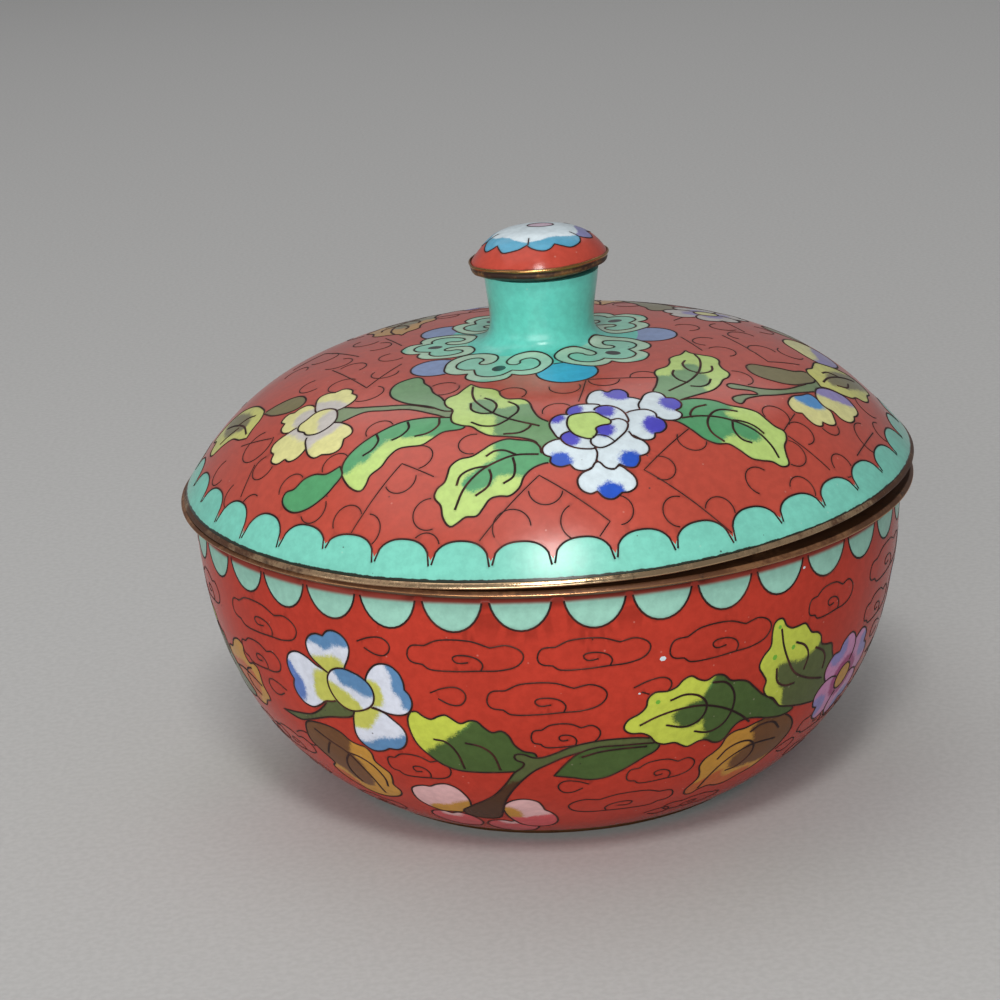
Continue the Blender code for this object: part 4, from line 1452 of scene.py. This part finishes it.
def specks(tree, place, scale):
    # the gap to the nearest speck, and three random numbers of its own
    node = tree.nodes.new("ShaderNodeTexVoronoi")
    node.inputs["Scale"].default_value = scale
    tree.links.new(place, node.inputs["Vector"])
    split = tree.nodes.new("ShaderNodeSeparateColor")
    tree.links.new(node.outputs["Color"], split.inputs[0])
    return node.outputs["Distance"], split.outputs


def blended(tree, share, first, second, mode="MIX"):
    node = tree.nodes.new("ShaderNodeMix")
    node.data_type = "RGBA"
    node.blend_type = mode
    for k, value in ((0, share), (6, first), (7, second)):
        feed(tree, node.inputs[k], value)
    return node.outputs[2]


# in these three, a noise is its scale, detail and roughness
meetingLook = {"slow": (900.0, 2.0), "fast": (4200.0, 3.0, 0.7), "fastShare": 1.4, "middle": 1.2}


def makeMeetingGroup(look):
    # where two glazes meet in one cell: a wandering, grainy edge
    group, place, given, result = newGroup(
        "glazeMeeting", {"Depth": 0.0, "Wander": 0.6, "Soft": 0.35}, ["Mask"])
    slow = noise(group, place, *look["slow"])
    fast = times(group, noise(group, place, *look["fast"]), look["fastShare"])
    shift = maths(group, "SUBTRACT", maths(group, "ADD", slow, fast), look["middle"])
    depth = maths(group, "ADD", given["Depth"], times(group, shift, given["Wander"]))
    mask = ramped(group, depth, times(group, given["Soft"], -1.0), given["Soft"])
    group.links.new(mask, result["Mask"])
    return group


kilnLook = {
    "cloud": (55.0, 3.0), "mottle": (700.0, 4.0, 0.65), "wave": (260.0, 2.0), "skin": (1500.0, 2.0),
    "skinShare": 0.12,
    "pitScale": 420.0, "pitRare": 0.72, "pitSize": 0.075, "pitEdge": (-0.02, 0.02), "pitDent": 0.5,
    "fleckScale": 760.0, "fleckRare": 0.9, "fleckSize": 0.13, "fleckEdge": (-0.02, 0.04),
}


def makeKilnGroup(look):
    # what firing and polishing leave all over the enamel
    group, place, given, result = newGroup(
        "kilnGrain", {"Pit Size": 1.0}, ["Cloud", "Mottle", "Pits", "Flecks", "Height"])
    group.links.new(noise(group, place, *look["cloud"]), result["Cloud"])
    group.links.new(noise(group, place, *look["mottle"]), result["Mottle"])
    pitGap, chances = specks(group, place, look["pitScale"])
    rare = maths(group, "GREATER_THAN", chances[0], look["pitRare"])
    size = times(group, times(group, chances[1], look["pitSize"]), given["Pit Size"])
    pit = ramped(group, maths(group, "SUBTRACT", size, pitGap), *look["pitEdge"])
    pits = times(group, pit, rare)
    group.links.new(pits, result["Pits"])
    fleckGap, chances = specks(group, place, look["fleckScale"])
    few = maths(group, "GREATER_THAN", chances[2], look["fleckRare"])
    fleck = ramped(group, maths(group, "SUBTRACT", look["fleckSize"], fleckGap), *look["fleckEdge"])
    group.links.new(times(group, fleck, few), result["Flecks"])
    skin = times(group, noise(group, place, *look["skin"]), look["skinShare"])
    height = maths(group, "ADD", noise(group, place, *look["wave"]), skin)
    height = maths(group, "SUBTRACT", height, times(group, pits, look["pitDent"]))
    group.links.new(height, result["Height"])
    return group


patinaLook = {
    "broad": (130.0, 4.0, 0.6), "fine": (1400.0, 3.0, 0.6), "fineShare": 0.35, "rubbedShare": 0.55,
    "cover": (0.18, 0.62), "grime": (420.0, 4.0, 0.7), "grimeEdge": (0.55, 0.75), "broadHeight": 0.5,
}


def makePatinaGroup(look):
    # tarnish, rubbed metal and dirt, by place and by how far out the surface stands
    group, place, given, result = newGroup(
        "patina", {"Rubbed": 0.5, "Scale": 1.0}, ["Tarnish", "Grime", "Height"])
    stretch = group.nodes.new("ShaderNodeVectorMath")
    stretch.operation = "SCALE"
    group.links.new(place, stretch.inputs[0])
    group.links.new(given["Scale"], stretch.inputs["Scale"])
    place = stretch.outputs[0]
    broad = noise(group, place, *look["broad"])
    fine = noise(group, place, *look["fine"])
    cover = maths(group, "ADD", broad, times(group, fine, look["fineShare"]))
    cover = maths(group, "SUBTRACT", cover, times(group, given["Rubbed"], look["rubbedShare"]))
    group.links.new(ramped(group, cover, *look["cover"]), result["Tarnish"])
    grime = ramped(group, noise(group, place, *look["grime"]), *look["grimeEdge"])
    group.links.new(grime, result["Grime"])
    height = maths(group, "ADD", fine, times(group, broad, look["broadHeight"]))
    group.links.new(height, result["Height"])
    return group


meetingGroup = makeMeetingGroup(meetingLook)
kilnGroup = makeKilnGroup(kilnLook)
patinaGroup = makePatinaGroup(patinaLook)


def newMaterial(name):
    material = bpy.data.materials.new(name)
    material.use_nodes = True
    tree = material.node_tree
    tree.nodes.clear()
    shader = tree.nodes.new("ShaderNodeBsdfPrincipled")
    output = tree.nodes.new("ShaderNodeOutputMaterial")
    tree.links.new(shader.outputs[0], output.inputs[0])
    return material, tree, shader


def useGroup(tree, group, values):
    node = tree.nodes.new("ShaderNodeGroup")
    node.node_tree = group
    for title, value in values.items():
        feed(tree, node.inputs[title], value)
    return node.outputs


def readAttribute(tree, name, output):
    node = tree.nodes.new("ShaderNodeAttribute")
    node.attribute_name = name
    return node.outputs[output]


def addBump(tree, shader, height, depth):
    node = tree.nodes.new("ShaderNodeBump")
    node.inputs["Distance"].default_value = depth
    node.inputs["Strength"].default_value = 1.0
    tree.links.new(height, node.inputs["Height"])
    tree.links.new(node.outputs[0], shader.inputs["Normal"])


def makeEnamel(name, finish):
    material, tree, shader = newMaterial(name)
    split = tree.nodes.new("ShaderNodeSeparateXYZ")
    tree.links.new(readAttribute(tree, "spread", "Vector"), split.inputs[0])
    tipDepth, rootDepth, wireGap = split.outputs
    rimGap = readAttribute(tree, "rimGap", "Fac")
    kiln = useGroup(tree, kilnGroup, {"Pit Size": finish["pitSize"]})

    # the glazes of the cell, then their tone
    colour = readAttribute(tree, "glazeBase", "Color")
    for depth, title in ((rootDepth, "glazeRoot"), (tipDepth, "glazeTip")):
        meeting = {"Depth": depth, "Wander": finish["wander"], "Soft": finish["soft"]}
        mask = useGroup(tree, meetingGroup, meeting)[0]
        # the glazes of the cell, then their tone: cloud and mottle at random, darker next to the wires, and
        # painted shade towards the rim
        colour = blended(tree, mask, colour, readAttribute(tree, title, "Color"))
    tone = ramped(tree, kiln["Cloud"], *finish["cloud"])
    for value, key in ((kiln["Mottle"], "mottle"), (wireGap, "wire"), (rimGap, "rim")):
        tone = times(tree, tone, ramped(tree, value, *finish[key]))
    grey = tree.nodes.new("ShaderNodeCombineColor")
    for socket in list(grey.inputs)[:3]:
        tree.links.new(tone, socket)
    colour = blended(tree, 1.0, colour, grey.outputs[0], "MULTIPLY")

    # what lies in it and over it: pits and flecks; painted shade with a painted red reflection below the
    # bowl's band; and a dark line along the enamel's edge by the rim, which is grime and painted shade of
    # the joint
    edge = maths(tree, "ADD", rimGap, times(tree, kiln["Mottle"], finish["darkEdgeWander"]))
    for share, key in (
        (times(tree, kiln["Pits"], finish["pitShade"]), "pitColour"),
        (times(tree, kiln["Flecks"], finish["fleckShade"]), "fleckColour"),
        (ramped(tree, rimGap, *finish["paintedRimShade"]), "paintedRimShadeColour"),
        (ramped(tree, edge, *finish["grime"]), "grimeColour"),
    ):
        colour = blended(tree, share, colour, finish[key])
    tree.links.new(colour, shader.inputs["Base Color"])
    rough = ramped(tree, kiln["Mottle"], *finish["gloss"])
    rough = maths(tree, "ADD", rough, times(tree, kiln["Pits"], finish["pitDull"]), clamp=True)
    tree.links.new(rough, shader.inputs["Roughness"])
    shader.inputs["IOR"].default_value = finish["ior"]
    shader.inputs["Coat Weight"].default_value = finish["coat"]
    shader.inputs["Coat Roughness"].default_value = finish["coatRoughness"]
    addBump(tree, shader, kiln["Height"], finish["relief"])
    return material


def makeMetal(name, finish):
    material, tree, shader = newMaterial(name)
    rubbed = readAttribute(tree, "wearAndSheen", "Fac") if finish["byEdge"] else finish["rubbed"]
    patina = useGroup(tree, patinaGroup, {"Scale": finish["scale"], "Rubbed": rubbed})
    colour = blended(tree, patina["Tarnish"], finish["bright"], finish["dark"])
    colour = blended(tree, times(tree, patina["Grime"], finish["grime"]), colour, finish["grimeColour"])
    tree.links.new(colour, shader.inputs["Base Color"])
    for title, key in (("Roughness", "gloss"), ("Metallic", "metallic")):
        tree.links.new(ramped(tree, patina["Tarnish"], 0.0, 1.0, *finish[key]), shader.inputs[title])
    shader.inputs["Specular IOR Level"].default_value = finish["shine"]
    addBump(tree, shader, patina["Height"], finish["relief"])
    return material


# a ramp is where it starts and ends, in mm or in shares, and its values there
enamelFinish = {
    "wander": 1.1, "soft": 0.5, "relief": 0.00003,
    "cloud": (0.3, 0.7, 0.95, 1.05), "mottle": (0.3, 0.7, 0.92, 1.07),
    # the rim ramp is painted shade, darker towards the rim
    "wire": (0.1, 0.5, 0.76, 1.0), "rim": (0.0, 1.2, 0.92, 1.0),
    "pitSize": 1.0, "pitShade": 0.8, "pitDull": 0.4, "pitColour": (0.02, 0.012, 0.01, 1.0),
    "fleckShade": 0.14, "fleckColour": (0.75, 0.6, 0.5, 1.0),
    # the ramp and colour below paint shade, with a red reflection, under the bowl's band; the lid and the
    # knob have none
    "paintedRimShade": (0.1, 0.8, 0.0, 0.0), "paintedRimShadeColour": (0.24, 0.03, 0.02, 1.0),
    # the ramp below, its wander and its colour make a dark line along the enamel's edge by the rim: grime
    # and painted shade of the joint
    "grime": (0.42, 0.52, 1.0, 0.0), "darkEdgeWander": 0.55, "grimeColour": (0.012, 0.018, 0.011, 1.0),
    "gloss": (0.25, 0.75, 0.16, 0.26), "ior": 1.36, "coat": 0.0, "coatRoughness": 0.08,
}
lidGlaze = makeEnamel("lid_enamel_glaze", {
    **enamelFinish, "ior": 1.33, "coat": 0.55, "coatRoughness": 0.36,
})
bowlGlaze = makeEnamel("bowl_enamel_glaze", {
    # on the bowl: deeper painted shade towards the band, painted shade with a red reflection below it, and
    # no dark edge line
    **enamelFinish, "cloud": (0.3, 0.7, 0.93, 1.05), "ior": 1.17, "rim": (0.0, 2.0, 0.85, 1.0),
    "paintedRimShade": (0.35, 1.05, 0.97, 0.0), "grime": (0.42, 0.52, 0.0, 0.0),
})
knobGlaze = makeEnamel("knob_enamel_glaze", {
    # on the knob, a fainter dark line by its brass: grime and painted shade of the joint
    **enamelFinish, "wander": 0.5, "soft": 0.22, "pitShade": 0.4, "grime": (0.42, 0.52, 0.4, 0.0),
})

# gloss and metallic are given where the metal is bare and where it is tarnished
brassFinish = {
    "bright": (0.62, 0.32, 0.15, 1.0), "dark": (0.115, 0.045, 0.018, 1.0), "byEdge": True,
    "scale": 1.0, "grime": 0.8, "grimeColour": (0.02, 0.014, 0.01, 1.0),
    "gloss": (0.22, 0.5), "metallic": (1.0, 0.35), "shine": 0.5, "relief": 0.00002,
}
wireMetal = makeMetal("dark_copper_wire", {
    **brassFinish, "bright": (0.09, 0.022, 0.013, 1.0), "dark": (0.016, 0.005, 0.004, 1.0),
    "byEdge": False, "rubbed": 0.3, "grime": 0.4, "gloss": (0.4, 0.6), "metallic": (0.2, 0.1),
    "shine": 0.25, "relief": 0.00001,
})
rimBrass = makeMetal("worn_rim_brass", brassFinish)
lidBrass = makeMetal("worn_lid_brass", {
    **brassFinish, "bright": (0.66, 0.46, 0.27, 1.0), "dark": (0.075, 0.03, 0.013, 1.0),
    "scale": 1.4, "gloss": (0.16, 0.5),
})
knobBrass = makeMetal("worn_knob_brass", {
    **brassFinish, "bright": (0.5, 0.26, 0.09, 1.0), "dark": (0.035, 0.014, 0.008, 1.0), "scale": 1.7,
})
# the foot ring's brass is painted dark, as painted shade under the bowl
shadedFootBrass = makeMetal("dull_foot_brass_painted_shade", {
    **brassFinish, "bright": (0.2, 0.09, 0.04, 1.0), "dark": (0.04, 0.018, 0.009, 1.0),
    "gloss": (0.35, 0.55),
})
print("materials ready")

innerEvery = 8  # the inner faces use only some of the profile's corners
# the core is left open; edges are counted round the rim; coarse and fine are the steps of the grids;
# a shade widening is a side, in radians, and how much nearer to the rim it makes the enamel seem,
# so that the painted shade and the dark line by the rim reach further on that side
lidCut = {
    "core": 8.0, "edgeStart": math.radians(-90 + scallops["offset"]), "edgeCount": 240, "coreEvery": 2,
    "coarse": 1.5, "fine": 0.75, "fineWithin": 15.0, "ground": "lidRed", "shadeWideningSides": [(4.0, 0.22)],
    "neckSteps": 14,
}
build, runs, (ring, turns), (coreRing, coreTurns) = fireSheet(lid, lidCut)
steps = np.linspace(lidCut["core"], neckReach, lidCut["neckSteps"] + 1)
neckSection, neckNormals = (
    list(zip(*(np.interp(steps, lidForm["reach"], lidForm[key][:, k]) for k in (0, 1))))
    for key in ("profile", "normal")
)
neckEnd = ringsOn(build, lidForm, coreRing, coreTurns, neckSection[1:], neckNormals, "neckTurquoise")
neckTop = [(0.0, lidSizes["neckTop"][1])]
ringsOn(build, lidForm, neckEnd, coreTurns, neckTop, [(0.0, 1.0)] * 2, "neckTurquoise")
ceiling = (dome - lidSizes["thickness"] * lidForm["normal"][-len(dome):])[::-innerEvery]
ceiling[0, 1] = lidSizes["rimHeight"]
lining(build, lidForm, ring, turns, ceiling, -1)
layEnamel("lid_enamel", build, lidGlaze, "lid_enamel", "lid_body")
layWires("lid_wires", lid, runs, wireMetal, "lid_brass")

bowlCut = {
    "core": bowlSizes["baseRadius"], "edgeStart": 0.0, "edgeCount": 252, "coreEvery": 1, "coarse": 1.6,
    "fine": 0.85, "fineWithin": 0.0, "ground": "bowlRed", "shadeWideningSides": [(-0.35, 0.85), (-2.75, 0.85)],
}
build, runs, (ring, turns), (coreRing, coreTurns) = fireSheet(bowl, bowlCut)
base = [(0.0, bowlSizes["baseHeight"])]
ringsOn(build, bowlForm, coreRing, coreTurns, base, [(0.0, -1.0)] * 2, "innerTurquoise", True)
wall = (bowlProfile - bowlSizes["thickness"] * bowlForm["normal"])[::-innerEvery]
wall[-1, 1] = bowlSizes["baseHeight"] + bowlSizes["thickness"]
lining(build, bowlForm, ring, turns, wall, 1)
layEnamel("bowl_enamel", build, bowlGlaze, "bowl_enamel", "bowl_body")
layWires("bowl_wires", bowl, runs, wireMetal, "bowl_brass")

knobCut = {
    "core": 0.0, "edgeStart": 0.0, "edgeCount": 120, "coarse": 0.9, "fine": 0.55, "fineWithin": 0.0,
    "ground": "knobRed", "shadeWideningSides": [(0.0, 0.0)],
}
build, runs, (ring, turns) = fireSheet(knob, knobCut)[:3]
ringsOn(build, knobForm, ring, turns, [(0.0, knobSizes["floor"])], [(0.0, -1.0)] * 2, "knobRed", True)
layEnamel("knob_enamel", build, knobGlaze, "knob_enamel", "knob_top")
layWires("knob_wires", knob, runs, wireMetal, "knob_brass")
print("enamel laid")


def softened(corners, steps=3):
    # rounds each corner of a section; a corner is radius, height, rounding, wear and sway
    section = []
    count = len(corners)
    for i, (radius, height, soft, wearAndSheen, *sway) in enumerate(corners):
        spot = np.array((radius, height))
        rest = (wearAndSheen, sum(sway))
        if soft == 0:
            section.append((*spot, *rest))
            continue
        before = np.array(corners[i - 1][:2]) - spot
        after = np.array(corners[(i + 1) % count][:2]) - spot
        before = spot + before / np.linalg.norm(before) * soft
        after = spot + after / np.linalg.norm(after) * soft
        for t in np.linspace(0, 1, steps + 1):
            curve = (1 - t) ** 2 * before + 2 * t * (1 - t) * spot + t * t * after
            section.append((*curve, *rest))
    return section


# slight waves round a rim: how often, how much, and where they start
ripples = ((3, 1.0, 1.0), (7, 0.6, 2.0), (13, 0.4, 0.0))
sharpFrom = math.radians(50)


def turnBrass(name, section, form, sizes, material, slot, *nodes):
    count, wobble, paintedHighlightSide = sizes["count"], sizes.get("wobble", 0.0), sizes.get("paintedHighlightSide")
    turns = np.linspace(0, 2 * math.pi, count + 1)[:-1]
    points, faces, wearAndSheen, rows = [], [], [], []
    for radius, height, rubbed, sway in section:
        if radius < 1e-6:
            rows.append([len(points)])
            points.append(placed(form, 0.0, height, turns[:1])[0])
            wearAndSheen.append(rubbed)
            continue
        rows.append(list(range(len(points), len(points) + count)))
        wave = wobble * sum(share * np.sin(often * turns + start) for often, share, start in ripples)
        points.extend(placed(form, radius - abs(wobble) + wave, height - sway * np.cos(turns), turns))
        if paintedHighlightSide:
            # painted highlight: the bright, rubbed metal is kept mostly towards one side, the front that
            # faces the lights and the camera
            side, least = paintedHighlightSide
            rubbed = rubbed * (least + (1 - least) * np.clip(np.cos(turns - side), 0, 1) ** 4)
        wearAndSheen.extend(rubbed + 0 * turns)
    loop = section[0][0] > 1e-6
    pairs = list(zip(rows, rows[1:] + rows[:1])) if loop else list(zip(rows, rows[1:]))
    for near, far in pairs:
        for i in range(count):
            j = (i + 1) % count
            if len(near) == 1:
                faces.append((near[0], far[j], far[i]))
            elif len(far) == 1:
                faces.append((near[i], near[j], far[0]))
            else:
                faces.append((near[i], near[j], far[j], far[i]))
    mesh = newMesh(name, points, faces)
    mesh.set_sharp_from_angle(angle=sharpFrom)
    addLayer(mesh, "wearAndSheen", "FLOAT", "POINT", "value", wearAndSheen)
    addPiece(name, mesh, material, slot, *nodes)


bowlRim = {
    "inner": 55.6, "seat": 58.2, "outer": 60.1,
    "bottom": 48.4, "bulge": 49.45, "shoulder": 50.05, "top": 49.8, "count": 240, "wobble": 0.03,
}
bowlRimSection = softened([
    (bowlRim["inner"], bowlRim["bottom"] + 0.5, 0.1, 0.1),
    (bowlRim["seat"] - 0.6, bowlRim["bottom"], 0.0, 0.0),
    (bowlRim["seat"], bowlRim["bottom"], 0.1, 0.0, 0.1),
    (bowlRim["outer"] - 0.18, bowlRim["bulge"] - 0.22, 0.1, 0.0, 0.32),
    (bowlRim["outer"], bowlRim["bulge"], 0.06, 1.1, 0.35),
    (bowlRim["outer"] - 0.12, bowlRim["bulge"] + 0.15, 0.06, 0.15, 0.32),
    (bowlRim["outer"] - 0.5, bowlRim["shoulder"], 0.12, 0.2, 0.15),
    (bowlRim["outer"] - 1.1, bowlRim["top"], 0.2, 0.0, 0.1),
    (bowlRim["inner"], bowlRim["top"], 0.1, 0.0),
])
turnBrass("bowl_rim_brass", bowlRimSection, bowlForm, bowlRim, rimBrass, "bowl_brass", "bowl_rim")

collarSizes = {"outer": 55.3, "inner": 54.5, "bottom": 45.05, "top": 52.9, "count": 240}
collarSection = softened([
    (collarSizes["outer"], collarSizes["bottom"], 0.1, 0.1),
    (collarSizes["outer"], collarSizes["top"], 0.2, 0.2),
    (collarSizes["inner"], collarSizes["top"], 0.2, 0.2),
    (collarSizes["inner"], collarSizes["bottom"], 0.1, 0.1),
])
turnBrass("bowl_collar_brass", collarSection, bowlForm, collarSizes, rimBrass, "bowl_brass", "bowl_collar")

# the lid rim's brass is brightest at the front: a painted highlight
lidRim = {
    "inner": 57.2, "outer": 59.75, "bottom": -0.36, "edge": -0.12, "top": 0.53,
    "count": 240, "wobble": 0.03, "paintedHighlightSide": (-1.55, 0.12),
}
lidRimSection = softened([
    (lidRim["inner"], lidRim["bottom"], 0.1, 0.0),
    (lidRim["outer"] - 0.2, lidRim["bottom"], 0.1, 1.3),
    (lidRim["outer"], lidRim["edge"], 0.1, 0.9),
    (lidRim["outer"] - 0.2, lidRim["edge"] + 0.35, 0.1, 0.9),
    (lidRim["outer"] - 0.45, lidRim["top"], 0.1, 0.9),
    (lidRim["inner"], lidRim["top"], 0.1, 0.1),
])
turnBrass("lid_rim_brass", lidRimSection, lidForm, lidRim, lidBrass, "lid_brass", "lid_rim")

footSizes = {"outer": 34.0, "inner": 31.6, "bottom": 0.0, "top": 1.2, "count": 180}
footSection = softened([
    (footSizes["inner"], footSizes["bottom"], 0.25, 0.8),
    (footSizes["outer"], footSizes["bottom"], 0.3, 0.9),
    (footSizes["outer"], footSizes["top"], 0.1, 0.2),
    (footSizes["inner"], footSizes["top"], 0.1, 0.2),
])
turnBrass("foot_ring_brass", footSection, bowlForm, footSizes, shadedFootBrass, "foot_brass", "foot_ring")

knobDish = {
    "neck": 9.25, "outer": 11.45, "recess": 11.15, "under": 32.7, "bottom": 33.45,
    "groove": 34.25, "floor": 34.6, "top": 34.98, "count": 144, "wobble": 0.07,
}
dishSection = [(0.0, knobDish["under"], 0.1, 0.0)] + softened([
    (knobDish["neck"], knobDish["under"], 0.0, 0.0),
    (knobDish["outer"] - 0.45, knobDish["bottom"], 0.2, 0.2),
    (knobDish["outer"] - 0.3, knobDish["bottom"] + 0.4, 0.15, 0.2),
    (knobDish["outer"] - 0.35, knobDish["groove"], 0.2, 0.1),
    (knobDish["outer"], knobDish["groove"] + 0.45, 0.15, 1.1),
    (knobDish["outer"] - 0.2, knobDish["top"], 0.12, 0.6),
    (knobDish["recess"] + 0.04, knobDish["top"] - 0.03, 0.02, 0.3),
    (knobDish["recess"], knobDish["floor"], 0.0, 0.1),
]) + [(0.0, knobDish["floor"], 0.1, 0.0)]
turnBrass("knob_rim_brass", dishSection, dishForm, knobDish, knobBrass, "knob_brass", "knob_rim")
print("brass turned")

# floor, lights and camera
stage = {
    "half": 3.0, "grain": (900.0, 3.0), "grainEnds": (0.3, 0.7), "rough": 0.9, "shine": 0.2,
    "light": (0.5, 0.496, 0.487, 1.0), "dark": (0.46, 0.456, 0.447, 1.0),
}


def makeFloor():
    mesh = bpy.data.meshes.new("studio_floor")
    half = stage["half"]
    corners = [(-half, -half, 0), (half, -half, 0), (half, half, 0), (-half, half, 0)]
    mesh.from_pydata(corners, [], [(0, 1, 2, 3)])
    material, tree, shader = newMaterial("floor_paper")
    place = tree.nodes.new("ShaderNodeTexCoord").outputs["Object"]
    grain = ramped(tree, noise(tree, place, *stage["grain"]), *stage["grainEnds"])
    tree.links.new(blended(tree, grain, stage["dark"], stage["light"]), shader.inputs["Base Color"])
    shader.inputs["Roughness"].default_value = stage["rough"]
    shader.inputs["Specular IOR Level"].default_value = stage["shine"]
    mesh.materials.append(material)
    floor = bpy.data.objects.new("studio_floor", mesh)
    bpy.context.scene.collection.objects.link(floor)


white = (1.0, 1.0, 1.0)
# each: where it stands and what it looks at, its width and height in metres, its power and colour
softboxes = {
    "key_softbox": ((-0.012, -0.67, 0.9), (0, 0, 0.05), 0.2, 0.22, 3.9, (1.0, 0.98, 0.95)),
    "overhead_softbox": ((-0.35, 0.1, 1.3), (0, 0, 0.04), 1.3, 1.1, 4.5, white),
    "front_fill": ((-0.3, -1.5, 0.42), (0, 0, 0.05), 1.2, 0.8, 16.7, white),
    "left_fill": ((-1.1, -0.55, 0.25), (-0.03, 0, 0.03), 0.5, 0.5, 1.2, white),
    "backdrop_softbox": ((0.1, 1.1, 1.0), (0.1, 0.85, 0.0), 1.4, 0.5, 2.0, white),
}
air = {"Color": (0.96, 0.97, 1.0, 1.0), "Strength": 0.24}


def makeLights():
    for name, (spot, target, wide, tall, power, colour) in softboxes.items():
        light = bpy.data.lights.new(name, "AREA")
        light.shape = "RECTANGLE"
        light.size, light.size_y = wide, tall
        light.energy = power
        light.color = colour
        box = bpy.data.objects.new(name, light)
        box.location = spot
        box.rotation_euler = (Vector(target) - Vector(spot)).to_track_quat("-Z", "Y").to_euler()
        bpy.context.scene.collection.objects.link(box)
    world = bpy.data.worlds.new("studio_air")
    bpy.context.scene.world = world
    world.use_nodes = True
    for title, value in air.items():
        world.node_tree.nodes["Background"].inputs[title].default_value = value


# the place is in mm; down and roll are angles
view = {
    "sensor": 36.0, "lens": 93.6, "near": 0.01, "far": 20.0,
    "place": (-7.78, -410.9, 175.4), "down": 0.307, "roll": -0.057,
}


def makeCamera():
    camera = bpy.data.cameras.new("camera")
    camera.sensor_width = view["sensor"]
    camera.lens = view["lens"]
    camera.clip_start, camera.clip_end = view["near"], view["far"]
    seen = bpy.data.objects.new("camera", camera)
    down, roll = view["down"], view["roll"]
    back = Vector((0, -math.cos(down), math.sin(down)))
    up = Vector((0, math.sin(down), math.cos(down)))
    right = Vector((1, 0, 0))
    across = math.cos(roll) * right + math.sin(roll) * up
    above = -math.sin(roll) * right + math.cos(roll) * up
    turn = Matrix((across, above, back)).transposed().to_4x4()
    seen.matrix_world = Matrix.Translation([value * mm for value in view["place"]]) @ turn
    bpy.context.scene.collection.objects.link(seen)
    bpy.context.scene.camera = seen


makeFloor()
makeLights()
makeCamera()
bpy.context.scene.view_settings.view_transform = "Standard"
print("scene ready")
